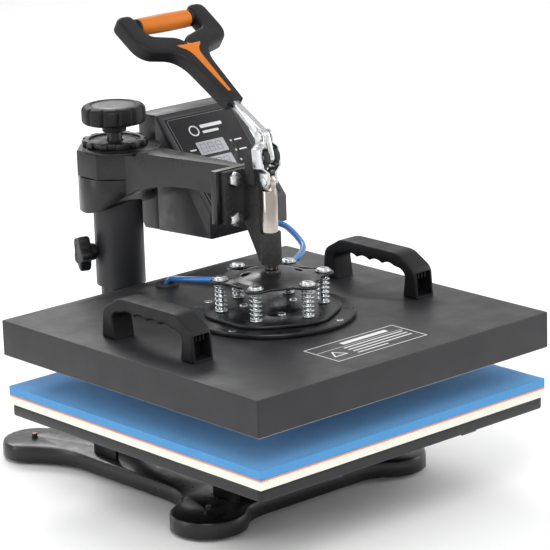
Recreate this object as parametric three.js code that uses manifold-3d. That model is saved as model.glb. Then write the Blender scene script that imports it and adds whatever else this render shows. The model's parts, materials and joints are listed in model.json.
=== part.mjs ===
// Swing-away heat press: a cast base carries a padded lower plate and a column. A head swings on
// the column, and a toggle lever on the head pushes a heated platen down on the pads.
// Millimetres, +Z up. X = 0 is the platens' middle, the user stands on the -Y side.
import * as THREE from 'three';
import { mergeVertices } from 'three/addons/utils/BufferGeometryUtils.js';
import Module from 'manifold-3d';

const wasm = await Module();
wasm.setup();

// ---- driving dimensions ---------------------------------------------------------------------
const GAP = 0.3;                 // clearance between pieces that touch
const WALL = 3;                  // wall of the cast base shell

const PLATEN = 385;              // side of the heated platen's cover
const PLATEN_H = 36.3;           // height of the cover
const COVER_SHEET = 1.5;         // sheet thickness of the cover
const HEAT_PLATE_H = 14;         // cast heating plate
const HEAT_PLATE_DROP = 1.2;     // how far the heating plate stands below its cover
const OPEN_GAP = 31.1;           // open height between pad and heating plate
const PAD_INSET = 2.5;           // how far the pads' edges stand inside the cover's
const PAD = PLATEN - 2 * PAD_INSET;
const PAD_BLUE_H = 9.2;
const PAD_WHITE_H = 9.6;
const TRAY_INSET = 1;
const TRAY = PAD - 2 * TRAY_INSET;   // side of the lower plate
const TRAY_H = 11.6;             // height of its rim
const TRAY_SHEET = 2;

const FOOT_R = 24;
const FOOT_H = 4;
const BASE_H = 17;               // height of the base shell
const RISER_H = 59;              // from the base to the rails' underside
const RAIL_X = 90;               // rails under the lower plate
const RAIL_W = 20;
const RAIL_DROP = 4;             // how far the rails stand below the plate's rim

const COLUMN_GAP = 47.5;         // from the platen's rear edge to the column's axis
const COLUMN_Y = PLATEN / 2 + COLUMN_GAP;
const COLUMN_FOOT_R = 42;        // flange that stands on the base
const COLUMN_FOOT_H = 8;
const POST_R = 21.5;
const POST_BORE_R = 11;
const SLEEVE_R = 26;
const SLEEVE_WALL = 4;
const SPINDLE_R = 8;
const HUB_R = 39.5;
const ARM_HALF = 18;             // half width of the arm beside the hub
const ARM_TIP_HALF = 6;          // half width where it meets its front flange
const ARM_ARCH = 21.5;           // how far the arm's underside arches above the flange's foot
const FLANGE_HALF = 35;
const FLANGE_Y = 39;             // front face of the arm's flange
const FLANGE_H = 54;
const FLANGE_T = 8;
const BRACKET_HALF = 29;
const BRACKET_T = 6;

const ROD_R = 7.8;               // plunger rod
const GUIDE_WALL = 2.4;
const GUIDE_LENGTH = 32;
const LINK_LENGTH = 45;          // between the toggle link's two pins
const CRANK = 21;                // from the lever's fixed pivot to the link's upper pin
const CRANK_LEAN = 14;           // degrees that the crank leans back past its dead centre with the press open
const LEVER_HALF = 3.2;          // half thickness of the lever bar
const LEVER_TILT = 33.3;         // degrees above horizontal with the press open
const LEVER_REACH = 176;         // from the link's upper pin to the grip
const LINK_SHEET = 2.6;

const BOLT_CIRCLE = 52;          // radius of the six spring bolts
const BOLT_R = 3.25;
const BOLT_HEAD_R = 8;
const SPRING_WIRE_R = 1;
const SPRING_R = 5.5;            // to the middle of the wire
const SPRING_H = 29.1;
const SPRING_TURNS = 5.5;
const DISC_R = 83;               // mounting disc on the platen
const DISC_H = 5.1;
const INNER_DISC_R = 69;
const INNER_DISC_H = 3.7;
const SPIDER_T = 2.5;
const DOME_RISE = 6.8;

const HANDLE_X = PLATEN / 2 - 45;    // middle of each platen handle
const HANDLE_W = 26;
const HANDLE_LENGTH = 138;
const HANDLE_H = 44;
const HANDLE_Y = 3;

const CONSOLE_LEFT = HUB_R + 8.5;    // control console beside the hub
const CONSOLE_W = 108;
const CONSOLE_FRONT = COLUMN_Y - 92;
const CONSOLE_LIP = 28;          // upright strip below the sloping face
const CONSOLE_FACE = 122.6;      // length of the sloping face
const CONSOLE_SLOPE = 48.6;      // degrees
const CONSOLE_TOP = 32;          // depth of the flat top behind the face
const HOSE_R = 3.25;

// ---- heights and places that follow from them --------------------------------------------------
const BASE_TOP = FOOT_H + BASE_H;
const RAIL_BOTTOM = BASE_TOP + RISER_H;
const TRAY_BOTTOM = RAIL_BOTTOM + RAIL_DROP;
const TRAY_TOP = TRAY_BOTTOM + TRAY_H;
const WHITE_TOP = TRAY_TOP + GAP + PAD_WHITE_H;
const PAD_TOP = WHITE_TOP + GAP + PAD_BLUE_H;
const HEAT_BOTTOM = PAD_TOP + OPEN_GAP;
const COVER_BOTTOM = HEAT_BOTTOM + HEAT_PLATE_DROP;
const PLATEN_TOP = COVER_BOTTOM + PLATEN_H;
const DISC_TOP = PLATEN_TOP + GAP + DISC_H;
const INNER_TOP = DISC_TOP + GAP + INNER_DISC_H;
const SPRING_TOP = INNER_TOP + GAP + SPRING_H;
const SPIDER_BOTTOM = SPRING_TOP + GAP;
const SPIDER_TOP = SPIDER_BOTTOM + SPIDER_T;
const DOME_TOP = SPIDER_TOP + DOME_RISE;
const GUIDE_BOTTOM = DOME_TOP + 6;
const GUIDE_TOP = GUIDE_BOTTOM + GUIDE_LENGTH;
const LOWER_PIN = GUIDE_TOP + 51.6;
const UPPER_PIN_Y = CRANK * Math.sin(THREE.MathUtils.degToRad(CRANK_LEAN));
const LINK_LEAN = Math.asin(UPPER_PIN_Y / LINK_LENGTH);
const UPPER_PIN = LOWER_PIN + LINK_LENGTH * Math.cos(LINK_LEAN);
const FORK_PIVOT = UPPER_PIN - CRANK * Math.cos(THREE.MathUtils.degToRad(CRANK_LEAN));
const FLANGE_BOTTOM = GUIDE_TOP + 7;
const FLANGE_TOP = FLANGE_BOTTOM + FLANGE_H;
const HUB_TOP = FLANGE_TOP - 10;
const HUB_CREASE = HUB_TOP - 28;
const HUB_BOTTOM = HUB_TOP - 65;
const SLEEVE_TOP = HUB_TOP - 6;
const SLEEVE_BOTTOM = PLATEN_TOP - 9.6;
const POST_TOP = HUB_TOP - 36;
const SLEEVE_BORE_R = SLEEVE_R - SLEEVE_WALL;
const RAIL_REACH = TRAY / 2 - 1;
const PAD_HALF = PAD / 2;

// ---- base outline: lobes for the feet ------------------------------------------------------------
const FRONT_LOBE = { x: 122, y: -34, r: 39 };
const REAR_LOBE = { x: 104, y: COLUMN_Y + 28, r: 34 };
const BAR_X = 104;               // outer edge of the side bars
const CROSS_FRONT_Y = -50;
const WINDOW = { x: 60, front: 4, rear: 124, r: 14 };
const REAR_EDGE = REAR_LOBE.y + REAR_LOBE.r;
const ORIGIN_Y = (REAR_EDGE - PLATEN / 2) / 2;

// ---- materials -------------------------------------------------------------------------------------
const paint = (color, roughness, metalness) => new THREE.MeshStandardMaterial({ color, roughness, metalness });
const MATERIAL = {
  casting: paint(0x1c1c1f, 0.42, 0.3),
  roughCasting: paint(0x151515, 0.8, 0.2),
  powderCoat: paint(0x242427, 0.5, 0.25),
  blackSteel: paint(0x101012, 0.35, 0.5),
  zinc: paint(0xb9bfc1, 0.32, 0.95),
  polished: paint(0xd6cbc0, 0.18, 1),
  aluminium: paint(0xb4b5b6, 0.4, 0.9),
  plastic: paint(0x1a1a1c, 0.55, 0),
  consolePlastic: paint(0x26262a, 0.5, 0),
  overlay: paint(0x17171a, 0.3, 0),
  orange: paint(0xd98a22, 0.5, 0),
  red: paint(0xa02420, 0.45, 0),
  rubber: paint(0x121212, 0.85, 0),
  bluePad: paint(0x3f8fd6, 0.85, 0),
  whitePad: paint(0xe9e6d8, 0.85, 0),
  hose: paint(0x1466c8, 0.3, 0),
};

// ---- geometry helpers --------------------------------------------------------------------------------
const rad = THREE.MathUtils.degToRad;

// A closed three.js geometry as a solid that can be cut and joined.
function solid(geometry) {
  const bare = geometry.index ? geometry.toNonIndexed() : geometry.clone();
  bare.deleteAttribute('normal');
  bare.deleteAttribute('uv');
  const merged = mergeVertices(bare, 1e-4);
  const index = merged.index.array;
  const triVerts = [];
  for (let i = 0; i < index.length; i += 3) {
    const [a, b, c] = [index[i], index[i + 1], index[i + 2]];
    if (a !== b && b !== c && c !== a) triVerts.push(a, b, c);
  }
  return new wasm.Manifold(new wasm.Mesh({
    numProp: 3,
    vertProperties: new Float32Array(merged.attributes.position.array),
    triVerts: new Uint32Array(triVerts),
  }));
}

function geometryOf(manifold) {
  const mesh = manifold.getMesh();
  const geometry = new THREE.BufferGeometry();
  geometry.setAttribute('position', new THREE.BufferAttribute(mesh.vertProperties, 3));
  geometry.setIndex(new THREE.BufferAttribute(mesh.triVerts, 1));
  geometry.computeVertexNormals();
  return geometry;
}

const join = (first, ...rest) => rest.reduce((sum, part) => sum.add(part), first);
const cut = (first, ...rest) => rest.reduce((left, part) => left.subtract(part), first);

// A plan outline raised from z0 to z1, with rounded upper and lower edges when edge > 0.
function raise(shape, z0, z1, edge = 0, curveSegments = 8) {
  const geometry = new THREE.ExtrudeGeometry(shape, {
    depth: z1 - z0 - 2 * edge, bevelEnabled: edge > 0, bevelThickness: edge, bevelSize: edge,
    bevelOffset: -edge, bevelSegments: edge > 1.5 ? 2 : 1, curveSegments,
  });
  geometry.translate(0, 0, z0 + edge);
  return solid(geometry);
}

// The same, with the outline drawn in the Y-Z plane and raised along X.
function raiseAlongX(shape, x0, x1, edge = 0, curveSegments = 8) {
  const side = geometryOf(raise(shape, x0, x1, edge, curveSegments));
  side.rotateY(Math.PI / 2);
  side.rotateX(Math.PI / 2);
  return solid(side);
}

function polygon(points) {
  return new THREE.Shape(points.map(([x, y]) => new THREE.Vector2(x, y)));
}

function rectangle(x0, x1, y0, y1, r = 0) {
  const shape = new THREE.Shape();
  if (r === 0) return polygon([[x0, y0], [x1, y0], [x1, y1], [x0, y1]]);
  shape.absarc(x1 - r, y0 + r, r, -Math.PI / 2, 0);
  shape.absarc(x1 - r, y1 - r, r, 0, Math.PI / 2);
  shape.absarc(x0 + r, y1 - r, r, Math.PI / 2, Math.PI);
  shape.absarc(x0 + r, y0 + r, r, Math.PI, 1.5 * Math.PI);
  shape.closePath();
  return shape;
}

function circle(r, x = 0, y = 0) {
  const shape = new THREE.Shape();
  shape.absarc(x, y, r, 0, 2 * Math.PI);
  return shape;
}

// The outline round two circles, as of a belt.
function capsule([x0, y0], r0, [x1, y1], r1) {
  const along = Math.atan2(y1 - y0, x1 - x0);
  const spread = Math.acos((r0 - r1) / Math.hypot(x1 - x0, y1 - y0));
  const shape = new THREE.Shape();
  shape.absarc(x0, y0, r0, along + spread, along + 2 * Math.PI - spread);
  shape.absarc(x1, y1, r1, along - spread, along + spread);
  shape.closePath();
  return shape;
}

const block = (x0, x1, y0, y1, z0, z1) => raise(rectangle(x0, x1, y0, y1), z0, z1);

function cylinder(r, z0, z1, x = 0, y = 0, sides = 24, topR = r) {
  const geometry = new THREE.CylinderGeometry(topR, r, z1 - z0, sides);
  geometry.rotateX(Math.PI / 2);
  geometry.translate(x, y, (z0 + z1) / 2);
  return solid(geometry);
}

// A cylinder along X through (y, z).
function pinAlongX(r, x0, x1, y, z, sides = 20) {
  const geometry = new THREE.CylinderGeometry(r, r, x1 - x0, sides);
  geometry.rotateZ(Math.PI / 2);
  geometry.translate((x0 + x1) / 2, y, z);
  return solid(geometry);
}

// A profile of [radius, height] points, turned about a vertical axis at (x, y).
function turned(profile, x = 0, y = 0, sides = 32) {
  const geometry = new THREE.LatheGeometry(profile.map(([r, z]) => new THREE.Vector2(r, z)), sides);
  geometry.rotateX(Math.PI / 2);
  geometry.translate(x, y, 0);
  return solid(geometry);
}

function tube(points, r, sides, steps) {
  const path = new THREE.CatmullRomCurve3(points.map((p) => new THREE.Vector3(...p)), false, 'centripetal');
  const ring = Array.from({ length: sides }, (_, i) => {
    const turn = (2 * Math.PI * i) / sides;
    return new THREE.Vector2(r * Math.cos(turn), r * Math.sin(turn));
  });
  const geometry = new THREE.ExtrudeGeometry(new THREE.Shape(ring), { steps, extrudePath: path });
  return solid(geometry);
}

function move(manifold, x, y, z, turnX = 0, turnZ = 0) {
  const geometry = geometryOf(manifold);
  geometry.rotateX(turnX);
  geometry.rotateZ(turnZ);
  geometry.translate(x, y, z);
  return solid(geometry);
}

const press = new THREE.Group();
press.position.y = -ORIGIN_Y;

function add(name, material, manifold) {
  const mesh = new THREE.Mesh(geometryOf(manifold), material);
  mesh.name = name;
  press.add(mesh);
}

const SIDES = [['left', -1], ['right', 1]];

// ---- base ----------------------------------------------------------------------------------------
// Half-way round each lobe the outline swings back into the side bar or the cross member.
function baseOutline(inset) {
  const front = FRONT_LOBE.r - inset;
  const rear = REAR_LOBE.r - inset;
  const bar = BAR_X - inset;
  const outline = new THREE.Shape();
  outline.moveTo(-60, CROSS_FRONT_Y + inset);
  outline.lineTo(60, CROSS_FRONT_Y + inset);
  outline.quadraticCurveTo(84, CROSS_FRONT_Y + inset, FRONT_LOBE.x - 0.77 * front, FRONT_LOBE.y - 0.64 * front);
  outline.absarc(FRONT_LOBE.x, FRONT_LOBE.y, front, rad(-140), rad(70));
  outline.quadraticCurveTo(bar, 10, bar, 60);
  outline.lineTo(bar, REAR_LOBE.y - 80);
  outline.quadraticCurveTo(bar, REAR_LOBE.y - 50, REAR_LOBE.x + 0.94 * rear, REAR_LOBE.y - 0.34 * rear);
  outline.absarc(REAR_LOBE.x, REAR_LOBE.y, rear, rad(-20), rad(150));
  outline.quadraticCurveTo(60, REAR_LOBE.y + 4 - inset, 40, REAR_LOBE.y + 4 - inset);
  outline.lineTo(-40, REAR_LOBE.y + 4 - inset);
  outline.quadraticCurveTo(-60, REAR_LOBE.y + 4 - inset, -REAR_LOBE.x + 0.87 * rear, REAR_LOBE.y + 0.5 * rear);
  outline.absarc(-REAR_LOBE.x, REAR_LOBE.y, rear, rad(30), rad(200));
  outline.quadraticCurveTo(-bar, REAR_LOBE.y - 50, -bar, REAR_LOBE.y - 80);
  outline.lineTo(-bar, 60);
  outline.quadraticCurveTo(-bar, 10, -FRONT_LOBE.x - 0.34 * front, FRONT_LOBE.y + 0.94 * front);
  outline.absarc(-FRONT_LOBE.x, FRONT_LOBE.y, front, rad(110), rad(320));
  outline.quadraticCurveTo(-84, CROSS_FRONT_Y + inset, -60, CROSS_FRONT_Y + inset);
  outline.closePath();
  const { x, front: y0, rear: y1, r } = WINDOW;
  outline.holes.push(rectangle(-x - inset, x + inset, y0 - inset, y1 + inset, r + inset));
  return outline;
}

const FOOT_PLACES = [
  ['foot_front_left', -FRONT_LOBE.x, FRONT_LOBE.y], ['foot_front_right', FRONT_LOBE.x, FRONT_LOBE.y],
  ['foot_rear_left', -REAR_LOBE.x, REAR_LOBE.y], ['foot_rear_right', REAR_LOBE.x, REAR_LOBE.y],
];
const STUD_R = 3;

function makeBase() {
  const edge = 5;
  const shell = cut(
    raise(baseOutline(0), FOOT_H - edge, BASE_TOP, edge, 5),
    block(-PLATEN, PLATEN, -PLATEN, PLATEN, -edge, FOOT_H),
    raise(baseOutline(WALL), FOOT_H - 1, BASE_TOP - WALL, 0, 4),
  );
  const studHoles = FOOT_PLACES.map(([, x, y]) => cylinder(STUD_R + GAP, 0, BASE_TOP + 1, x, y, 12));
  add('base_frame', MATERIAL.casting, cut(shell, ...studHoles));
  for (const [name, x, y] of FOOT_PLACES) {
    const disc = cylinder(FOOT_R, 0, FOOT_H - GAP, x, y, 28, FOOT_R - 1.5);
    const stud = cylinder(STUD_R, FOOT_H - 1, BASE_TOP + 4, x, y, 12);
    add(name, MATERIAL.rubber, join(disc, stud));
  }
}

// Two folded arches stand on the base and carry the rails that the lower plate sits on.
const ARCH_DEPTH = 36;
const ARCH_SHEET = 4;
const ARCH_FRONT_Y = CROSS_FRONT_Y + 6;
const ARCH_CLEARANCE = 18;       // from the rear arch to the column's flange
const ARCH_REAR_Y = COLUMN_Y - COLUMN_FOOT_R - ARCH_CLEARANCE - ARCH_DEPTH;

function makeSupport() {
  const archHalf = RAIL_X + RAIL_W / 2 - 6;
  const arch = (y) => cut(
    block(-archHalf, archHalf, y, y + ARCH_DEPTH, BASE_TOP + GAP, RAIL_BOTTOM + 1),
    block(-archHalf + ARCH_SHEET, archHalf - ARCH_SHEET, y - 1, y + ARCH_DEPTH + 1, BASE_TOP, RAIL_BOTTOM - ARCH_SHEET),
  );
  const railTop = TRAY_TOP - TRAY_SHEET - GAP;
  const rails = SIDES.map(([, side]) => block(
    side * RAIL_X - RAIL_W / 2, side * RAIL_X + RAIL_W / 2, -RAIL_REACH + 6, RAIL_REACH - 6, RAIL_BOTTOM, railTop));
  add('plate_support', MATERIAL.blackSteel, join(arch(ARCH_FRONT_Y), arch(ARCH_REAR_Y), ...rails));
}

function makeLowerPlate() {
  const half = TRAY / 2;
  const pan = cut(
    raise(rectangle(-half, half, -half, half, 6), TRAY_BOTTOM, TRAY_TOP, 1.6, 3),
    block(-half + TRAY_SHEET, half - TRAY_SHEET, -half + TRAY_SHEET, half - TRAY_SHEET, TRAY_BOTTOM - 1, TRAY_TOP - TRAY_SHEET),
  );
  // the rails pass under the front and rear rims through shallow notches
  const notches = SIDES.map(([, side]) => block(
    side * RAIL_X - RAIL_W / 2 - 1, side * RAIL_X + RAIL_W / 2 + 1, -half - 1, half + 1, TRAY_BOTTOM - 1, TRAY_BOTTOM + 0.5));
  add('lower_plate', MATERIAL.casting, cut(pan, ...notches));
}

function makePads() {
  add('foam_base', MATERIAL.whitePad, raise(
    rectangle(-PAD_HALF, PAD_HALF, -PAD_HALF, PAD_HALF, 1), TRAY_TOP + GAP, WHITE_TOP, 0, 2));
  add('foam_top', MATERIAL.bluePad, raise(
    rectangle(-PAD_HALF, PAD_HALF, -PAD_HALF, PAD_HALF, 1), WHITE_TOP + GAP, PAD_TOP, 0, 2));
}

function makeColumn() {
  const flangeTop = BASE_TOP + GAP + COLUMN_FOOT_H;
  add('column_post', MATERIAL.blackSteel, turned([
    [0, BASE_TOP + GAP], [COLUMN_FOOT_R, BASE_TOP + GAP], [COLUMN_FOOT_R, flangeTop - 2], [COLUMN_FOOT_R - 2, flangeTop], [POST_R + 4, flangeTop],
    [POST_R, flangeTop + 5], [POST_R, POST_TOP], [POST_BORE_R, POST_TOP], [POST_BORE_R, POST_TOP - 60],
    [0, POST_TOP - 60],
  ], 0, COLUMN_Y));
  const nutTop = POST_TOP + GAP + 8;
  const threadR = SPINDLE_R + GAP;
  add('lift_nut', MATERIAL.zinc, turned([
    [threadR, POST_TOP - 12], [POST_BORE_R - GAP, POST_TOP - 12], [POST_BORE_R - GAP, POST_TOP + GAP],
    [POST_R - 2, POST_TOP + GAP], [POST_R - 2, nutTop], [threadR, nutTop], [threadR, POST_TOP - 12],
  ], 0, COLUMN_Y));
}

// ---- head ----------------------------------------------------------------------------------------
function makeArm() {
  const octagon = polygon(Array.from({ length: 8 }, (_, i) => {
    const turn = rad(22.5 + 45 * i);
    const corner = HUB_R / Math.cos(rad(22.5)) - 1;
    return [corner * Math.cos(turn), COLUMN_Y + corner * Math.sin(turn)];
  }));
  const hub = join(
    raise(octagon, HUB_CREASE, HUB_TOP, 1.2),
    cylinder(HUB_R + 0.6, HUB_BOTTOM, HUB_CREASE + 0.1, 0, COLUMN_Y, 40),
  );
  const shoulderY = COLUMN_Y - 70;
  const wedge = raise(polygon([
    [-ARM_HALF, COLUMN_Y - 20], [-ARM_HALF + 2, shoulderY], [-ARM_TIP_HALF, FLANGE_Y + 4],
    [ARM_TIP_HALF, FLANGE_Y + 4], [ARM_HALF - 2, shoulderY], [ARM_HALF, COLUMN_Y - 20],
  ]), HUB_BOTTOM, FLANGE_TOP);
  const flange = block(-FLANGE_HALF, FLANGE_HALF, FLANGE_Y, FLANGE_Y + FLANGE_T, FLANGE_BOTTOM, FLANGE_TOP);
  const back = COLUMN_Y + HUB_R + 2;
  const discFront = COVER_DISC_Y - DISC_COVER_R;
  const sideShape = new THREE.Shape();
  sideShape.moveTo(FLANGE_Y - 1, FLANGE_BOTTOM);
  sideShape.lineTo(FLANGE_Y + FLANGE_T, FLANGE_BOTTOM);
  sideShape.lineTo(FLANGE_Y + FLANGE_T + 1, FLANGE_BOTTOM + ARM_ARCH - 4);
  sideShape.quadraticCurveTo(FLANGE_Y + 30, FLANGE_BOTTOM + ARM_ARCH, COLUMN_Y - 130, FLANGE_BOTTOM + ARM_ARCH);
  sideShape.quadraticCurveTo(shoulderY, FLANGE_BOTTOM + ARM_ARCH - 3, COLUMN_Y - 37, FLANGE_BOTTOM);
  sideShape.quadraticCurveTo(COLUMN_Y - 18, HUB_BOTTOM, COLUMN_Y + 6, HUB_BOTTOM);
  sideShape.lineTo(back, HUB_BOTTOM);
  sideShape.lineTo(back, HUB_TOP);
  sideShape.lineTo(discFront - 1, HUB_TOP);
  sideShape.lineTo(discFront - 5, HUB_TOP + 4);
  sideShape.lineTo(FLANGE_Y - 1, FLANGE_TOP);
  sideShape.closePath();
  const profile = raiseAlongX(sideShape, -CONSOLE_LEFT, CONSOLE_LEFT, 0, 8);
  const body = join(hub, wedge, flange).intersect(profile);
  const consoleBoss = block(HUB_R - 12, CONSOLE_LEFT - GAP, COLUMN_Y - 16, COLUMN_Y + 16, HUB_CREASE - 14, HUB_CREASE + 16);
  const threadedBoss = cylinder(RING_BORE_R - GAP, HUB_TOP - 1, HUB_TOP + 7, 0, COLUMN_Y, 32);
  const bore = cylinder(SLEEVE_R + GAP, HUB_BOTTOM - 1, SLEEVE_TOP + GAP, 0, COLUMN_Y, 40);
  const spindleHole = cylinder(SPINDLE_R + 1, HUB_BOTTOM, HUB_TOP + 20, 0, COLUMN_Y, 24);
  const boltHoles = BRACKET_BOLTS.map(([, x, z]) => move(
    cylinder(BRACKET_BOLT_R + GAP, -20, 20, 0, 0, 12), x, FLANGE_Y + 4, z, Math.PI / 2));
  add('swing_arm', MATERIAL.casting, cut(join(body, consoleBoss, threadedBoss), bore, spindleHole, ...boltHoles));
}

const RING_BORE_R = 27;
const RING_R = 31.5;
const DISC_COVER_R = 41;
const COVER_DISC_Y = COLUMN_Y - 11;  // the disc stands off the column's axis, over the arm's root
const RING_H = 6;
const BRACKET_BOLT_R = 4;
const BRACKET_BOLTS = [
  ['bracket_bolt_upper_left', -18, FLANGE_TOP - 9], ['bracket_bolt_upper_right', 18, FLANGE_TOP - 9],
  ['bracket_bolt_lower_left', -18, FLANGE_BOTTOM + 4.5], ['bracket_bolt_lower_right', 18, FLANGE_BOTTOM + 4.5],
];

function makeColumnHead() {
  add('column_sleeve', MATERIAL.powderCoat, cut(
    cylinder(SLEEVE_R, SLEEVE_BOTTOM, SLEEVE_TOP, 0, COLUMN_Y, 40),
    cylinder(SLEEVE_BORE_R, SLEEVE_BOTTOM - 1, SLEEVE_TOP + 1, 0, COLUMN_Y, 40),
    starKnobHole(),
  ));
  const discBottom = HUB_TOP + GAP;
  add('cover_disc', MATERIAL.blackSteel, cut(
    cylinder(DISC_COVER_R, discBottom, discBottom + 2, 0, COVER_DISC_Y, 48),
    cylinder(RING_BORE_R, discBottom - 1, discBottom + 3, 0, COLUMN_Y, 32),
  ));
  const ringBottom = discBottom + 2 + GAP;
  const lugs = Array.from({ length: 12 }, (_, i) => move(
    block(RING_R - 2, RING_R + 3, -4.2, 4.2, 0, RING_H), 0, COLUMN_Y, ringBottom, 0, rad(30 * i)));
  const ring = cylinder(RING_R, ringBottom, ringBottom + RING_H, 0, COLUMN_Y, 48);
  add('ring_nut', MATERIAL.blackSteel, cut(
    join(ring, ...lugs), cylinder(RING_BORE_R, ringBottom - 1, ringBottom + 10, 0, COLUMN_Y, 32)));
}

// The star knob's screw goes through the sleeve and locks it on the post.
const STAR_TURN = 157;           // degrees round the column from +X
const STAR_Z = PLATEN_TOP + 27;
const STAR_SCREW_R = 4;

const starFrame = (manifold) => {
  const geometry = geometryOf(manifold);
  geometry.rotateY(Math.PI / 2);
  geometry.rotateZ(rad(STAR_TURN));
  geometry.translate(0, COLUMN_Y, STAR_Z);
  return solid(geometry);
};

function starKnobHole() {
  return starFrame(cylinder(STAR_SCREW_R + GAP, SLEEVE_BORE_R - 2, SLEEVE_R + 2, 0, 0, 12));
}

function makeStarKnob() {
  const seat = SLEEVE_R + 1;
  const headFoot = seat + 7;
  const headEnd = seat + 19;
  const lobeCircle = 13;
  const lobes = Array.from({ length: 5 }, (_, i) => {
    const turn = rad(72 * i + 18);
    return cylinder(6.4, headFoot, headEnd, lobeCircle * Math.cos(turn), lobeCircle * Math.sin(turn), 14);
  });
  const hub = cylinder(8, seat, headFoot + 1, 0, 0, 20, 9.5);
  const core = cylinder(lobeCircle + 0.5, headFoot, headEnd, 0, 0, 24);
  const screw = cylinder(STAR_SCREW_R, POST_R + 2 * GAP, seat + 1, 0, 0, 12);
  add('star_knob', MATERIAL.plastic, starFrame(join(core, ...lobes, hub, screw)));
}

const KNOB_LIFT = 25.4;          // from the hub's top to the knob's underside
const KNOB_R = 33.5;
const KNOB_COLLAR_R = 12.6;
const KNOB_COLLAR_H = 9;

function makePressureKnob() {
  const bottom = HUB_TOP + KNOB_LIFT;
  const foot = bottom - KNOB_COLLAR_H;
  const profile = [
    [0, foot], [KNOB_COLLAR_R, foot], [KNOB_COLLAR_R, bottom + 2], [30, bottom], [KNOB_R, bottom + 3],
    [KNOB_R, bottom + 15], [30, bottom + 18.4], [24, bottom + 19.4], [23, bottom + 18.6], [0, bottom + 18.6],
  ];
  const flutes = Array.from({ length: 12 }, (_, i) => {
    const turn = rad(30 * i);
    const reach = KNOB_R + 3.5;
    return cylinder(4.6, bottom - 1, bottom + 21, reach * Math.cos(turn), COLUMN_Y + reach * Math.sin(turn), 12);
  });
  add('pressure_knob', MATERIAL.plastic, cut(turned(profile, 0, COLUMN_Y, 36), ...flutes));
  add('spindle', MATERIAL.zinc, cylinder(SPINDLE_R, POST_TOP - 36, foot - GAP, 0, COLUMN_Y, 20));
}

// Casting that holds the lever's fork, the plunger's guide and the flange plate, as one piece.
const EAR_INNER = LEVER_HALF + 0.6;
const EAR_OUTER = 9;
const GUIDE_R = ROD_R + GAP + GUIDE_WALL;
const PIVOT_R = 4;

function makeBracket() {
  const plateFront = FLANGE_Y - GAP - BRACKET_T;
  const plate = block(-BRACKET_HALF, BRACKET_HALF, plateFront, FLANGE_Y - GAP, FLANGE_BOTTOM, FLANGE_TOP - 1);
  const web = raiseAlongX(polygon([
    [plateFront + 1, FLANGE_BOTTOM], [plateFront + 1, FLANGE_TOP - 1], [22, FLANGE_TOP - 1], [10.5, FLANGE_TOP - 6],
    [10.5, GUIDE_TOP], [4, GUIDE_TOP - 4], [4, GUIDE_BOTTOM + 1], [12, GUIDE_BOTTOM + 1],
  ]), -5, 5, 0);
  const earOutline = capsule([0, FORK_PIVOT], 8, [18, FORK_PIVOT - 5], 7);
  const foot = block(-EAR_OUTER, EAR_OUTER, 12, 25, FLANGE_TOP - 14, FORK_PIVOT - 8);
  const ears = join(
    raiseAlongX(earOutline, EAR_INNER, EAR_OUTER, 0, 6), raiseAlongX(earOutline, -EAR_OUTER, -EAR_INNER, 0, 6));
  const guide = cylinder(GUIDE_R, GUIDE_BOTTOM, GUIDE_TOP, 0, 0, 28);
  const boltHoles = BRACKET_BOLTS.map(([, x, z]) => move(
    cylinder(BRACKET_BOLT_R + GAP, -20, 20, 0, 0, 12), x, plateFront, z, Math.PI / 2));
  add('toggle_bracket', MATERIAL.roughCasting, cut(
    join(plate, web, foot, ears, guide),
    cylinder(ROD_R + GAP, GUIDE_BOTTOM - 1, GUIDE_TOP + 1, 0, 0, 28),
    pinAlongX(PIVOT_R + GAP, -20, 20, 0, FORK_PIVOT),
    ...boltHoles,
  ));
  for (const [name, x, z] of BRACKET_BOLTS) {
    const head = cylinder(7.5, 0, 6, 0, 0, 6);
    const shank = cylinder(BRACKET_BOLT_R, -BRACKET_T - 10, 1, 0, 0, 12);
    add(name, MATERIAL.zinc, move(join(head, shank), x, plateFront - GAP, z, Math.PI / 2));
  }
  add('fork_pin', MATERIAL.zinc, pinAlongX(PIVOT_R, -EAR_OUTER, EAR_OUTER, 0, FORK_PIVOT));
}

// ---- lever ---------------------------------------------------------------------------------------
const LINK_PIN_R = 3.2;
const TANG_HALF = 4;
const TANG_LENGTH = 42;          // how far the bar's tang reaches into the plastic handle
const TANG_DROP = 1;
const BOSS_R = 6.5;
const BAR_END_R = 5;
const HANDLE_START = 50;         // where the plastic handle begins along the lever
const HANDLE_HALF_T = 8;         // half thickness of the plastic handle
const HANDLE_DROP = 2.3;         // its middle plane lies this far below the line of the upper pin

// Lever pieces are drawn flat: x across, y along the lever from the upper pin, z out of the D.
function alongLever(manifold) {
  return move(manifold, 0, UPPER_PIN_Y, UPPER_PIN, rad(LEVER_TILT));
}

function makeLever() {
  const along = ([s, n]) => [
    UPPER_PIN_Y + s * Math.cos(rad(LEVER_TILT)) - n * Math.sin(rad(LEVER_TILT)),
    UPPER_PIN + s * Math.sin(rad(LEVER_TILT)) + n * Math.cos(rad(LEVER_TILT)),
  ];
  const upper = [UPPER_PIN_Y, UPPER_PIN];
  const bar = raiseAlongX(capsule(upper, BOSS_R, along([HANDLE_START - 8, -1]), BAR_END_R), -LEVER_HALF, LEVER_HALF, 1, 6);
  const crank = raiseAlongX(capsule([0, FORK_PIVOT], BOSS_R + 0.5, upper, BOSS_R), -LEVER_HALF, LEVER_HALF, 1, 6);
  const tang = alongLever(block(
    -LEVER_HALF, LEVER_HALF, HANDLE_START - 16, HANDLE_START + TANG_LENGTH, -TANG_HALF - TANG_DROP, TANG_HALF - TANG_DROP));
  add('lever_bar', MATERIAL.zinc, cut(
    join(bar, crank, tang),
    pinAlongX(PIVOT_R + GAP, -20, 20, 0, FORK_PIVOT),
    pinAlongX(LINK_PIN_R + GAP, -20, 20, UPPER_PIN_Y, UPPER_PIN),
  ));
}

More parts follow.
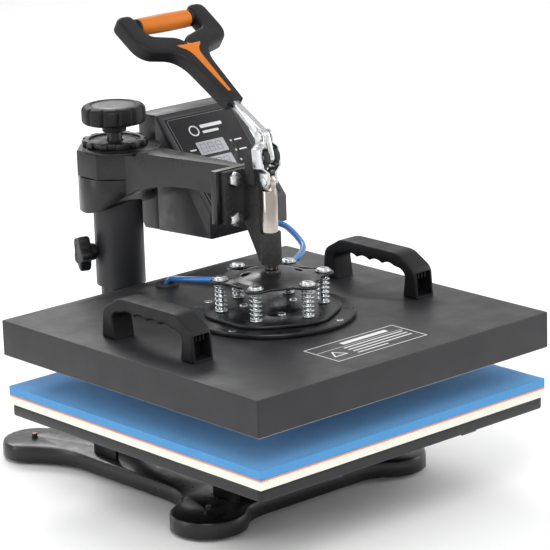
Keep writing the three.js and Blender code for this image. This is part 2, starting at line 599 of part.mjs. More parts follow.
function makeHandle() {
  const stemHalf = 9.5;
  const neckHalf = 13.5;
  const loopHalf = 57;
  const armW = 21;
  const top = LEVER_REACH + 12;
  const split = LEVER_REACH - 45;
  const outer = new THREE.Shape();
  outer.moveTo(stemHalf, HANDLE_START);
  outer.lineTo(neckHalf, split - 27);
  outer.quadraticCurveTo(neckHalf + 2, split - 6, neckHalf + 16, split - 2);
  outer.lineTo(loopHalf - 12, split + 2);
  outer.quadraticCurveTo(loopHalf, split + 8, loopHalf, split + 24);
  outer.lineTo(loopHalf, top - 10);
  outer.quadraticCurveTo(loopHalf, top, loopHalf - 10, top);
  outer.lineTo(loopHalf - armW + 8, top);
  outer.quadraticCurveTo(loopHalf - armW, top, loopHalf - armW, top - 8);
  outer.lineTo(loopHalf - armW, top - 26);
  outer.lineTo(-loopHalf + armW, top - 26);
  outer.lineTo(-loopHalf + armW, top - 8);
  outer.quadraticCurveTo(-loopHalf + armW, top, -loopHalf + armW - 8, top);
  outer.lineTo(-loopHalf + 10, top);
  outer.quadraticCurveTo(-loopHalf, top, -loopHalf, top - 10);
  outer.lineTo(-loopHalf, split + 24);
  outer.quadraticCurveTo(-loopHalf, split + 8, -loopHalf + 12, split + 2);
  outer.lineTo(-neckHalf - 16, split - 2);
  outer.quadraticCurveTo(-neckHalf - 2, split - 6, -neckHalf, split - 27);
  outer.lineTo(-stemHalf, HANDLE_START);
  outer.closePath();
  const inside = loopHalf - armW;
  const opening = new THREE.Shape();
  opening.moveTo(0, split + 8);
  opening.quadraticCurveTo(4, split + 16, 14, split + 18);
  opening.lineTo(inside - 8, split + 22);
  opening.quadraticCurveTo(inside, split + 24, inside, split + 34);
  opening.lineTo(inside, top + 5);
  opening.lineTo(-inside, top + 5);
  opening.lineTo(-inside, split + 34);
  opening.quadraticCurveTo(-inside, split + 24, -inside + 8, split + 22);
  opening.lineTo(-14, split + 18);
  opening.quadraticCurveTo(-4, split + 16, 0, split + 8);
  const low = -HANDLE_HALF_T - HANDLE_DROP;
  const high = HANDLE_HALF_T - HANDLE_DROP;
  const loop = cut(raise(outer, low, high, 3, 5), raise(opening, low - 2, high + 2, 0, 5));
  const across = (r, x0, x1) => pinAlongX(r, x0, x1, LEVER_REACH, -HANDLE_DROP, 20);
  const crossbar = join(
    across(GRIP_CORE_R, -inside - 2, inside + 2),
    across(GRIP_END_R - 1, -inside - 2, -GRIP_HALF - GAP), across(GRIP_END_R - 1, GRIP_HALF + GAP, inside + 2));
  const socket = block(
    -LEVER_HALF - GAP, LEVER_HALF + GAP, HANDLE_START - 1, HANDLE_START + TANG_LENGTH + GAP,
    -TANG_HALF - TANG_DROP - GAP, TANG_HALF - TANG_DROP + GAP);
  add('lever_handle', MATERIAL.plastic, alongLever(cut(join(loop, crossbar), socket)));
}

const GRIP_CORE_R = 5;
const GRIP_HALF = 32;
const GRIP_END_R = 8.6;

function makeGrip() {
  const bulge = turned([
    [GRIP_CORE_R + GAP, -GRIP_HALF], [GRIP_END_R, -GRIP_HALF], [GRIP_END_R + 1, -GRIP_HALF + 12], [GRIP_END_R + 1.6, 0],
    [GRIP_END_R + 1, GRIP_HALF - 12], [GRIP_END_R, GRIP_HALF], [GRIP_CORE_R + GAP, GRIP_HALF],
    [GRIP_CORE_R + GAP, -GRIP_HALF],
  ], 0, 0, 20);
  const geometry = geometryOf(bulge);
  geometry.rotateY(Math.PI / 2);
  geometry.translate(0, LEVER_REACH, -HANDLE_DROP);
  add('lever_grip', MATERIAL.orange, alongLever(solid(geometry)));
}

// Each link plate is joggled outwards so that it clears the fork's ears.
function makeLinks() {
  const eye = 6.8;
  const inner = LEVER_HALF + 0.5;
  const spread = EAR_OUTER + 1.1;
  const pivot = LINK_LENGTH - CRANK;
  const track = [
    [inner, LINK_LENGTH + eye], [inner, pivot + 14], [spread, pivot + 9],
    [spread, pivot - 10], [inner, pivot - 15.5], [inner, -eye],
  ];
  const strip = polygon([...track, ...track.map(([x, z]) => [x + LINK_SHEET, z]).reverse()]);
  const sheet = geometryOf(raise(strip, -eye, eye));
  sheet.rotateX(Math.PI / 2);
  const outline = raiseAlongX(capsule([0, 0], eye, [0, LINK_LENGTH], eye), 0, 30, 0, 6);
  const outerFace = inner + LINK_SHEET;
  const plate = cut(
    join(solid(sheet).intersect(outline), pinAlongX(4.4, outerFace - 0.5, outerFace + 1.6, 0, 0, 16)),
    pinAlongX(LINK_PIN_R + GAP, 0, 30, 0, LINK_LENGTH, 16),
  );
  const mirrored = geometryOf(plate);
  mirrored.rotateZ(Math.PI);
  add('link_plate_right', MATERIAL.zinc, move(plate, 0, 0, LOWER_PIN, -LINK_LEAN));
  add('link_plate_left', MATERIAL.zinc, move(solid(mirrored), 0, 0, LOWER_PIN, -LINK_LEAN));
  const head = outerFace + GAP;
  const pin = (r, x0, x1) => pinAlongX(r, x0, x1, UPPER_PIN_Y, UPPER_PIN, 16);
  add('link_pin', MATERIAL.zinc, join(
    pin(LINK_PIN_R, -head - 0.5, head + 0.5), pin(5, head, head + 1.8), pin(5, -head - 1.8, -head)));
}

// ---- plunger and spider --------------------------------------------------------------------------
const NECK_R = 5;                // plunger's neck, which the spider is fixed on
const PLUG_R = 8;                // its head under the spider
const PLUG_BOTTOM = SPIDER_BOTTOM - 2;
const PLUG_TOP = SPIDER_TOP + 3;

function makePlunger() {
  const shoulder = LOWER_PIN - 9;
  const rod = turned([
    [0, PLUG_BOTTOM], [NECK_R, PLUG_BOTTOM], [NECK_R, DOME_TOP + GAP], [6.6, DOME_TOP + GAP],
    [6.6, DOME_TOP + 3.5], [ROD_R, DOME_TOP + 4.5], [ROD_R, shoulder], [0, shoulder],
  ], 0, 0, 28);
  const underside = cylinder(PLUG_R, PLUG_BOTTOM, PLUG_TOP, 0, 0, 20);
  const tongue = raiseAlongX(capsule([0, LOWER_PIN - 12], 6.6, [0, LOWER_PIN], 7.2), -LEVER_HALF, LEVER_HALF, 0, 8);
  add('plunger_rod', MATERIAL.polished, join(rod, underside, tongue));
}

const boltAngle = (i) => rad(30 + 60 * i);
const DOME_FOOT_R = 40;

function spiderOutline() {
  const waist = 49;
  const lobeR = 10.5;
  const outline = new THREE.Shape();
  for (let i = 0; i < 6; i++) {
    const turn = boltAngle(i);
    const x = BOLT_CIRCLE * Math.cos(turn);
    const y = BOLT_CIRCLE * Math.sin(turn);
    outline.absarc(x, y, lobeR, turn - rad(75), turn + rad(75));
    const between = turn + rad(30);
    outline.absarc(0, 0, waist, between - rad(12), between + rad(12));
  }
  outline.closePath();
  return outline;
}

function makeSpider() {
  const plate = raise(spiderOutline(), SPIDER_BOTTOM, SPIDER_TOP, 0, 4);
  const dome = (lift, r) => turned([
    [0, SPIDER_BOTTOM - 1], [r, SPIDER_BOTTOM - 1], [r, SPIDER_BOTTOM + lift * 0.2], [r - 8, SPIDER_BOTTOM + lift * 0.55],
    [r - 20, SPIDER_BOTTOM + lift * 0.9], [12, SPIDER_BOTTOM + lift], [0, SPIDER_BOTTOM + lift],
  ], 0, 0, 24);
  const bowl = DOME_TOP - SPIDER_BOTTOM;
  const holes = Array.from({ length: 6 }, (_, i) => cylinder(
    BOLT_R + 0.8, SPIDER_BOTTOM - 1, SPIDER_TOP + 1,
    BOLT_CIRCLE * Math.cos(boltAngle(i)), BOLT_CIRCLE * Math.sin(boltAngle(i)), 12));
  const sights = [150, 330].map((turn) => cylinder(
    4.5, SPIDER_BOTTOM - 2, DOME_TOP + 1, 27 * Math.cos(rad(turn)), 27 * Math.sin(rad(turn)), 12));
  const raised = dome(bowl, DOME_FOOT_R).intersect(cylinder(DOME_FOOT_R + 1, SPIDER_BOTTOM, DOME_TOP + 1, 0, 0, 28));
  add('spider_plate', MATERIAL.casting, cut(
    join(plate, raised), dome(bowl - SPIDER_T, DOME_FOOT_R - 3),
    cylinder(NECK_R + GAP, SPIDER_BOTTOM - 1, DOME_TOP + 1, 0, 0, 20),
    cylinder(PLUG_R + GAP, PLUG_BOTTOM - 1, PLUG_TOP + GAP, 0, 0, 24), ...holes, ...sights));
}

// ---- platen --------------------------------------------------------------------------------------
const GROMMET = { x: 3, y: PLATEN / 2 - 24.5, r: 12.5, neck: 9, bore: 7.6 };
const STANDOFFS = [[-70, -70], [70, -70], [70, 70], [-70, 70]];

function makePlaten() {
  const half = PLATEN / 2;
  const inner = half - COVER_SHEET;
  add('platen_cover', MATERIAL.powderCoat, cut(
    raise(rectangle(-half, half, -half, half, 2), COVER_BOTTOM, PLATEN_TOP, 0.8, 3),
    block(-inner, inner, -inner, inner, COVER_BOTTOM - 1, PLATEN_TOP - COVER_SHEET),
    cylinder(GROMMET.neck + GAP, PLATEN_TOP - 5, PLATEN_TOP + 1, GROMMET.x, GROMMET.y, 20),
  ));
  const plateHalf = inner - 1;
  const slab = block(-plateHalf, plateHalf, -plateHalf, plateHalf, HEAT_BOTTOM, HEAT_BOTTOM + HEAT_PLATE_H);
  const standoffs = STANDOFFS.map(([x, y]) => cylinder(
    10, HEAT_BOTTOM + 1, PLATEN_TOP - COVER_SHEET - GAP, x, y, 16));
  add('heat_plate', MATERIAL.aluminium, join(slab, ...standoffs));
  add('grommet', MATERIAL.rubber, cut(
    join(
      cylinder(GROMMET.r, PLATEN_TOP + GAP, PLATEN_TOP + 3, GROMMET.x, GROMMET.y, 24, GROMMET.r - 2),
      cylinder(GROMMET.neck, PLATEN_TOP - 8, PLATEN_TOP + 1, GROMMET.x, GROMMET.y, 20),
    ),
    cylinder(GROMMET.bore, PLATEN_TOP - 9, PLATEN_TOP + 4, GROMMET.x, GROMMET.y, 20),
  ));
}

function makeDiscs() {
  add('mount_disc', MATERIAL.blackSteel, raise(circle(DISC_R), PLATEN_TOP + GAP, DISC_TOP, 1, 14));
  const wavy = polygon(Array.from({ length: 72 }, (_, i) => {
    const turn = rad(5 * i);
    const r = INNER_DISC_R - 1.8 + 1.8 * Math.cos(6 * (turn - boltAngle(0)));
    return [r * Math.cos(turn), r * Math.sin(turn)];
  }));
  add('spring_disc', MATERIAL.blackSteel, cut(
    raise(wavy, DISC_TOP + GAP, INNER_TOP, 0.8),
    cylinder(10, DISC_TOP + 1.2, INNER_TOP + 1, -14, -22, 24),
  ));
}

function makeSpringBolts() {
  const helix = (x, y) => {
    const turns = SPRING_TURNS;
    const perTurn = 6;
    const low = INNER_TOP + GAP + SPRING_WIRE_R;
    const rise = SPRING_H - 2 * SPRING_WIRE_R;
    return Array.from({ length: Math.round(turns * perTurn) + 1 }, (_, i) => {
      const turn = (2 * Math.PI * i) / perTurn;
      const z = low + (rise * i) / (turns * perTurn);
      return [x + SPRING_R * Math.cos(turn), y + SPRING_R * Math.sin(turn), z];
    });
  };
  for (let i = 0; i < 6; i++) {
    const x = BOLT_CIRCLE * Math.cos(boltAngle(i));
    const y = BOLT_CIRCLE * Math.sin(boltAngle(i));
    const head = SPIDER_TOP + GAP;
    add(`spring_bolt_${i + 1}`, MATERIAL.zinc, join(
      cylinder(BOLT_R, INNER_TOP + GAP, head + 0.5, x, y, 12),
      cylinder(BOLT_HEAD_R, head, head + 1.6, x, y, 20),
      cylinder(BOLT_HEAD_R - 1.6, head + 1.5, head + 3.5, x, y, 20, BOLT_HEAD_R - 2.4),
    ));
    const path = helix(x, y);
    add(`spring_${i + 1}`, MATERIAL.zinc, tube(path, SPRING_WIRE_R, 5, path.length - 1));
  }
}

// A bow handle with hollow ends, arched over the hand and scalloped underneath for the fingers.
function makePlatenHandle(name, side) {
  const half = HANDLE_LENGTH / 2;
  const shoulder = HANDLE_H - 12;
  const bar = 15;
  const outline = new THREE.Shape();
  outline.moveTo(-half, 0);
  outline.lineTo(-half + 20, 0);
  outline.lineTo(-half + 17, shoulder - 12);
  outline.quadraticCurveTo(-half + 18, HANDLE_H - bar, -half + 32, HANDLE_H - bar);
  const scallops = 4;
  const pitch = (HANDLE_LENGTH - 64) / scallops;
  for (let i = 0; i < scallops; i++) {
    const from = -half + 32 + i * pitch;
    outline.quadraticCurveTo(from + pitch / 2, HANDLE_H - bar + 5, from + pitch, HANDLE_H - bar);
  }
  outline.quadraticCurveTo(half - 18, HANDLE_H - bar, half - 17, shoulder - 12);
  outline.lineTo(half - 20, 0);
  outline.lineTo(half, 0);
  outline.lineTo(half - 2, shoulder - 8);
  outline.quadraticCurveTo(half - 3, shoulder - 2, half - 8, shoulder + 1);
  outline.lineTo(half - 22, HANDLE_H - 3);
  outline.quadraticCurveTo(half - 27, HANDLE_H, half - 36, HANDLE_H);
  outline.lineTo(-half + 36, HANDLE_H);
  outline.quadraticCurveTo(-half + 27, HANDLE_H, -half + 22, HANDLE_H - 3);
  outline.lineTo(-half + 8, shoulder + 1);
  outline.quadraticCurveTo(-half + 3, shoulder - 2, -half + 2, shoulder - 8);
  outline.closePath();
  const body = raiseAlongX(outline, -HANDLE_W / 2, HANDLE_W / 2, 2, 4);
  const pockets = [-1, 1].map((end) => {
    const y0 = Math.min(end * (half - 16), end * (half + 1));
    return block(-HANDLE_W / 2 + 3, HANDLE_W / 2 - 3, y0, y0 + 17, 3, shoulder - 8);
  });
  add(name, MATERIAL.plastic, move(
    cut(body, ...pockets), side * HANDLE_X, HANDLE_Y, PLATEN_TOP + GAP));
}

// ---- console -------------------------------------------------------------------------------------
const CONSOLE_BOTTOM = PLATEN_TOP + 42.9;
const CONSOLE_RIGHT = CONSOLE_LEFT + CONSOLE_W;
const FACE_FOOT = CONSOLE_BOTTOM + CONSOLE_LIP;
const FACE_TOP_Y = CONSOLE_FRONT + CONSOLE_FACE * Math.cos(rad(CONSOLE_SLOPE));
const FACE_TOP_Z = FACE_FOOT + CONSOLE_FACE * Math.sin(rad(CONSOLE_SLOPE));
const CONSOLE_SPLIT = FACE_TOP_Y + 3;
const CONSOLE_BACK = FACE_TOP_Y + CONSOLE_TOP;
const CONSOLE_WALL = 2.5;
const OVERLAY_T = 1;
const OVERLAY_EDGE = 7;
const BUTTON_R = 5;
const BUTTONS = [['button_down', 26], ['button_set', 54], ['button_up', 82]];
const BUTTON_UP_FACE = 12;
const HOSE_OUTLET = [CONSOLE_LEFT + 81, CONSOLE_FRONT, CONSOLE_BOTTOM + 5];
const INLET = { x: CONSOLE_LEFT + 34, z: CONSOLE_BOTTOM + 26, w: 27, h: 20 };
const SWITCH = { x: CONSOLE_LEFT + 76, z: CONSOLE_BOTTOM + 26, w: 13, h: 19 };

// Face pieces are drawn flat: x from the console's left side, y up the slope, z out of the face.
function onFace(manifold) {
  return move(manifold, CONSOLE_LEFT, CONSOLE_FRONT, FACE_FOOT, rad(CONSOLE_SLOPE));
}

function makeConsole() {
  const sideOutline = polygon([
    [CONSOLE_FRONT, CONSOLE_BOTTOM], [CONSOLE_BACK - 4, CONSOLE_BOTTOM - 6], [CONSOLE_BACK, CONSOLE_BOTTOM],
    [CONSOLE_BACK, FACE_TOP_Z - 4], [CONSOLE_BACK - 4, FACE_TOP_Z], [FACE_TOP_Y, FACE_TOP_Z], [CONSOLE_FRONT, FACE_FOOT],
  ]);
  const outer = raiseAlongX(sideOutline, CONSOLE_LEFT, CONSOLE_RIGHT, 2);
  const core = raiseAlongX(sideOutline, CONSOLE_LEFT + 0.6, CONSOLE_RIGHT - 0.6, 2.6);
  const front = block(0, 400, CONSOLE_FRONT - 10, CONSOLE_SPLIT, 0, 1000);
  const rear = block(0, 400, CONSOLE_SPLIT + GAP, CONSOLE_BACK + 10, 0, 1000);
  const recess = onFace(block(
    OVERLAY_EDGE - GAP, CONSOLE_W - OVERLAY_EDGE + GAP, OVERLAY_EDGE - GAP, CONSOLE_FACE - OVERLAY_EDGE + GAP, -OVERLAY_T, 5));
  const wells = BUTTONS.map(([, x]) => onFace(cylinder(BUTTON_R + GAP, -8, 5, x, OVERLAY_EDGE + BUTTON_UP_FACE, 16)));
  const hollow = raiseAlongX(polygon([
    [CONSOLE_FRONT + CONSOLE_WALL, CONSOLE_BOTTOM + CONSOLE_WALL],
    [CONSOLE_BACK - CONSOLE_WALL, CONSOLE_BOTTOM + CONSOLE_WALL - 3],
    [CONSOLE_BACK - CONSOLE_WALL, FACE_TOP_Z - CONSOLE_WALL], [FACE_TOP_Y + 5, FACE_TOP_Z - CONSOLE_WALL],
    [CONSOLE_FRONT + CONSOLE_WALL, FACE_FOOT - 5],
  ]), CONSOLE_LEFT + CONSOLE_WALL, CONSOLE_RIGHT - CONSOLE_WALL);
  const gland = move(cylinder(6, 0, 6, 0, 0, 16, 4.6), ...HOSE_OUTLET, Math.PI / 2);
  add('console_front', MATERIAL.consolePlastic, join(
    cut(outer.intersect(front), hollow, recess, ...wells), gland));
  const inletHole = block(
    INLET.x - INLET.w / 2 - GAP, INLET.x + INLET.w / 2 + GAP, CONSOLE_BACK - 6, CONSOLE_BACK + 6,
    INLET.z - INLET.h / 2 - GAP, INLET.z + INLET.h / 2 + GAP);
  const switchHole = block(
    SWITCH.x - SWITCH.w / 2 - GAP, SWITCH.x + SWITCH.w / 2 + GAP, CONSOLE_BACK - 6, CONSOLE_BACK + 6,
    SWITCH.z - SWITCH.h / 2 - 1, SWITCH.z + SWITCH.h / 2 + 1);
  add('console_rear', MATERIAL.consolePlastic, cut(core.intersect(rear), hollow, inletHole, switchHole));
  const holes = BUTTONS.map(([, x]) => cylinder(BUTTON_R + GAP, -5, 5, x, OVERLAY_EDGE + BUTTON_UP_FACE, 16));
  add('control_overlay', MATERIAL.overlay, onFace(cut(
    block(OVERLAY_EDGE, CONSOLE_W - OVERLAY_EDGE, OVERLAY_EDGE, CONSOLE_FACE - OVERLAY_EDGE, -OVERLAY_T + GAP, GAP), ...holes)));
  for (const [name, x] of BUTTONS) {
    add(name, MATERIAL.red, onFace(cylinder(BUTTON_R, -4, 2.6, x, OVERLAY_EDGE + BUTTON_UP_FACE, 16, BUTTON_R - 0.6)));
  }
}

function makeMains() {
  const { x, z, w, h } = INLET;
  const body = block(x - w / 2, x + w / 2, CONSOLE_BACK - 18, CONSOLE_BACK + 1, z - h / 2, z + h / 2);
  const rim = block(x - w / 2 - 3, x + w / 2 + 3, CONSOLE_BACK + GAP, CONSOLE_BACK + 2.5, z - h / 2 - 3, z + h / 2 + 3);
  const mouth = block(x - w / 2 + 2, x + w / 2 - 2, CONSOLE_BACK - 14, CONSOLE_BACK + 4, z - h / 2 + 2, z + h / 2 - 2);
  const blades = [-7, 0, 7].map((dx) => block(
    x + dx - 1, x + dx + 1, CONSOLE_BACK - 15, CONSOLE_BACK - 1, z - 2.5 + (dx ? 0 : 3), z + 2.5 + (dx ? 0 : 3)));
  add('power_inlet', MATERIAL.plastic, join(cut(join(body, rim), mouth), ...blades));
  const s = SWITCH;
  const rocker = raiseAlongX(polygon([
    [CONSOLE_BACK - 5, s.z - s.h / 2 + 1], [CONSOLE_BACK + 0.5, s.z - s.h / 2 + 0.5], [CONSOLE_BACK, s.z],
    [CONSOLE_BACK + 2.6, s.z + s.h / 2 - 0.5], [CONSOLE_BACK - 5, s.z + s.h / 2 - 1],
  ].reverse()), s.x - s.w / 2, s.x + s.w / 2);
  add('power_switch', MATERIAL.plastic, rocker);
}

// Silicone sleeve round the heater's leads, from the console under the spider into the platen.
function makeHose() {
  const [x0, y0, z0] = HOSE_OUTLET;
  const t = PLATEN_TOP;
  const points = [
    [x0, y0 - 6 - GAP, z0], [x0, y0 - 10, z0], [x0 + 0.5, y0 - 18, z0 - 0.7], [x0 + 1, y0 - 28, t + 45], [x0 - 2, y0 - 47, t + 38],
    [x0 - 12, y0 - 66, t + 32], [90, 64, t + 28.4], [62, 52, t + 29.5], [32, 44, t + 31.8], [10, 39.5, t + 33],
    [-10, 42.5, t + 33], [-22, 57, t + 31.5], [-25, 79, t + 28], [-19, 106, t + 22], [-10, 132, t + 15.5],
    [-2, GROMMET.y - 15, t + 10.5], [GROMMET.x, GROMMET.y - 4.5, t + 5.5], [GROMMET.x, GROMMET.y + 3, t - 2],
  ];
  add('heater_hose', MATERIAL.hose, tube(points, HOSE_R, 8, 52));
}

makeBase();
makeSupport();
makeLowerPlate();
makePads();
makeColumn();
makeArm();
makeColumnHead();
makeStarKnob();
makePressureKnob();
makeBracket();
makeLever();
makeHandle();
makeGrip();
makeLinks();
makePlunger();
makeSpider();
makePlaten();
makeDiscs();
makeSpringBolts();
makePlatenHandle('platen_handle_left', -1);
makePlatenHandle('platen_handle_right', 1);
makeConsole();
makeMains();
makeHose();

export default press;
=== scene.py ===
# %% [markdown]
# # A heat press for flat transfers
# The machine is a cast base, a column, a head that swings on the column, and a lever that pushes a
# heated plate down on two soft pads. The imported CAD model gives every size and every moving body.
# This lesson adds what a CAD model has no need of: rounded edges, finishes and soft parts.

# %% Load the frame
import json
import math
import bmesh
import bpy
from mathutils import Matrix, Vector


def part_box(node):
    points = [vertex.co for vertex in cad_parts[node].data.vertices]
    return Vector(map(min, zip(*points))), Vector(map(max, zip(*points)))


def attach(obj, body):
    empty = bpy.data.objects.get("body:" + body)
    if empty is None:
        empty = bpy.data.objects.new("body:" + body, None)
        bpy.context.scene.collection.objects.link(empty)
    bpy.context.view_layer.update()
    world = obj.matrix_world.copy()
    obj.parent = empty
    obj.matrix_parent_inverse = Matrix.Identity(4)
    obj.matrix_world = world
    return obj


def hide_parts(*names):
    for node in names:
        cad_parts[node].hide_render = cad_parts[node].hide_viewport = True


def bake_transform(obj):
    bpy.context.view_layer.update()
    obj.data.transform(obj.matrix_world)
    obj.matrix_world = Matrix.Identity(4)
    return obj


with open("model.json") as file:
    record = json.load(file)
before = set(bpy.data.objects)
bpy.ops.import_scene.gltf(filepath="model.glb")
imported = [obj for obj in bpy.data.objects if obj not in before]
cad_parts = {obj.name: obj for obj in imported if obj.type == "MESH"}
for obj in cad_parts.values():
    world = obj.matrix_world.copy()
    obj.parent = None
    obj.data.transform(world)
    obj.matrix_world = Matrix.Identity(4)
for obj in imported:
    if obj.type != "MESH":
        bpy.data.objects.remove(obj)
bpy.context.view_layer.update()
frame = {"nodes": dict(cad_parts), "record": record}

MM = 0.001
nodes = frame["nodes"]

# %% [markdown]
# ## Camera
# The press is seen from above its front left corner with a long lens, so that its edges stay nearly
# parallel. The camera's own axes are worked out from three angles, and its place is in metres.

# %% Camera
CAMERA_PLACE = Vector((-1.7808, -2.0680, 0.9712))
CAMERA_TURN = math.radians(-41.56)
CAMERA_DROP = math.radians(15.50)
CAMERA_ROLL = math.radians(-1.84)
LENS = 184.4
FAR_CLIP = 50


def camera_axes():
    back = Vector((math.sin(CAMERA_TURN) * math.cos(CAMERA_DROP),
                   -math.cos(CAMERA_TURN) * math.cos(CAMERA_DROP), math.sin(CAMERA_DROP)))
    level = Vector((math.cos(CAMERA_TURN), math.sin(CAMERA_TURN), 0))
    upright = back.cross(level)
    c, s = math.cos(CAMERA_ROLL), math.sin(CAMERA_ROLL)
    return c * level + s * upright, c * upright - s * level, back


right, up, back = camera_axes()
turn = Matrix((right, up, back)).transposed().to_4x4()
camera_data = bpy.data.cameras.new("camera")
camera_data.lens = LENS
camera_data.clip_end = FAR_CLIP
camera = bpy.data.objects.new("camera", camera_data)
camera.matrix_world = Matrix.Translation(CAMERA_PLACE) @ turn
bpy.context.scene.collection.objects.link(camera)
bpy.context.scene.camera = camera
print("camera", round((CAMERA_PLACE - Vector((0, 0, 0.2))).length, 3), "m from the press")

# %% [markdown]
# ## Places
# Sizes come from the boxes of the CAD nodes. `low`, `high` and
# `middle` keep the cells below short.

# %% Places


def low(node):
    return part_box(node)[0]


def high(node):
    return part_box(node)[1]


def middle(node):
    return (Vector(low(node)) + Vector(high(node))) / 2


PLATEN_TOP = high("platen_cover")[2]
PLATEN_Y = middle("heat_plate").y
COLUMN_Y = middle("column_post").y
print("platen top at", round(PLATEN_TOP, 4), "column at", round(COLUMN_Y, 4))

# %% [markdown]
# ## Helpers that make a mesh
# A finished piece sits at the origin with its place in its vertices, as a CAD node does. `mesh_piece`
# wraps a mesh as such an object, smooths it up to a crease angle, and gives it a body and a finish.

# %% Mesh helpers


def mesh_piece(name, mesh, body, finish, crease=35):
    mesh.polygons.foreach_set("use_smooth", [True] * len(mesh.polygons))
    mesh.set_sharp_from_angle(angle=math.radians(crease))
    mesh.materials.clear()
    mesh.materials.append(finish)
    piece = bpy.data.objects.new(name, mesh)
    bpy.context.scene.collection.objects.link(piece)
    if body:
        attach(piece, body)
    return piece


def from_bmesh(name, bm, place=Matrix.Identity(4)):
    mesh = bpy.data.meshes.new(name)
    bmesh.ops.transform(bm, matrix=place, verts=bm.verts)
    bmesh.ops.recalc_face_normals(bm, faces=bm.faces)
    bm.to_mesh(mesh)
    bm.free()
    return mesh


def evaluated(obj):
    """The object's mesh with its modifiers applied; the object itself is taken away."""
    graph = bpy.context.evaluated_depsgraph_get()
    mesh = bpy.data.meshes.new_from_object(obj.evaluated_get(graph))
    bpy.data.objects.remove(obj)
    return mesh


# %% [markdown]
# ## Helpers that draw an outline
# Pressed, cast and moulded parts are mostly one outline with a thickness and a rounded edge. `Pen`
# draws the outline from lines, curves and arcs. `plate` fills it as a flat curve, whose bevel gives
# a truly round edge, and turns it into a mesh.

# %% Outline helpers


class Pen:
    def __init__(self, x, y):
        self.points = [(x, y)]

    def line(self, x, y):
        self.points.append((x, y))
        return self

    def bend(self, cx, cy, x, y, steps=8):
        x0, y0 = self.points[-1]
        for i in range(1, steps + 1):
            t = i / steps
            a, b, c = (1 - t) ** 2, 2 * t * (1 - t), t * t
            self.points.append((a * x0 + b * cx + c * x, a * y0 + b * cy + c * y))
        return self

    def arc(self, cx, cy, r, start, end, steps=16):
        for i in range(steps + 1):
            angle = math.radians(start + (end - start) * i / steps)
            self.points.append((cx + r * math.cos(angle), cy + r * math.sin(angle)))
        return self


def rectangle(x0, x1, y0, y1, r=0.0, steps=6):
    if r == 0:
        return [(x0, y0), (x1, y0), (x1, y1), (x0, y1)]
    pen = Pen(x0 + r, y0)
    pen.arc(x1 - r, y0 + r, r, -90, 0, steps).arc(x1 - r, y1 - r, r, 0, 90, steps)
    return pen.arc(x0 + r, y1 - r, r, 90, 180, steps).arc(x0 + r, y0 + r, r, 180, 270, steps).points


def disc(r, steps=48, x=0.0, y=0.0):
    return Pen(x + r, y).arc(x, y, r, 360 / steps, 360 - 360 / steps, steps - 2).points


def plate(outlines, z0, z1, edge=0.0, rings=3):
    """A mesh of flat outlines, in millimetres, from z0 to z1. Outlines inside the first are holes."""
    data = bpy.data.curves.new("outline", "CURVE")
    data.dimensions = "2D"
    data.fill_mode = "BOTH"
    for points in outlines:
        spline = data.splines.new("POLY")
        spline.points.add(len(points) - 1)
        for target, (x, y) in zip(spline.points, points):
            target.co = (x * MM, y * MM, 0, 1)
        spline.use_cyclic_u = True
    data.bevel_depth = edge * MM
    data.bevel_resolution = rings
    data.offset = -edge * MM
    data.extrude = ((z1 - z0) / 2 - edge) * MM
    obj = bpy.data.objects.new("outline", data)
    bpy.context.scene.collection.objects.link(obj)
    mesh = evaluated(obj)
    mesh.transform(Matrix.Translation((0, 0, (z0 + z1) / 2 * MM)))
    bm = bmesh.new()
    bm.from_mesh(mesh)
    bmesh.ops.remove_doubles(bm, verts=bm.verts, dist=1e-6)
    bmesh.ops.recalc_face_normals(bm, faces=bm.faces)
    bm.to_mesh(mesh)
    bm.free()
    return mesh


def placed(mesh, matrix):
    mesh.transform(matrix)
    return mesh


def merged(*meshes):
    bm = bmesh.new()
    for mesh in meshes:
        bm.from_mesh(mesh)
    result = bpy.data.meshes.new("merged")
    bm.to_mesh(result)
    bm.free()
    return result


# Y-Z outlines are drawn flat and stood up, so that their thickness runs along X.
ALONG_X = Matrix(((0, 0, 1, 0), (1, 0, 0, 0), (0, 1, 0, 0), (0, 0, 0, 1)))


def turned(profile, sides=64, shape=lambda angle, r, z: r):
    """A closed mesh turned about Z from (radius, height) points in millimetres."""
    bm = bmesh.new()
    rings = []
    for r, z in profile:
        ring = []
        for i in range(sides):
            angle = 2 * math.pi * i / sides
            reach = shape(angle, r, z) * MM
            ring.append(bm.verts.new((reach * math.cos(angle), reach * math.sin(angle), z * MM)))
        rings.append(ring)
    for a, b in zip(rings, rings[1:]):
        for i in range(sides):
            j = (i + 1) % sides
            bm.faces.new((a[i], a[j], b[j], b[i]))
    bm.faces.new(list(reversed(rings[0])))
    bm.faces.new(rings[-1])
    return bm


print("mesh helpers ready")

# %% [markdown]
# ## Finishes
# Every finish is a Principled shader with its plain numbers on its own sockets, and small noise
# textures that vary colour, roughness and height. All patterns read Object coordinates in metres, so
# a scale of 1000 means about one wave to the millimetre.

# %% Finish helpers


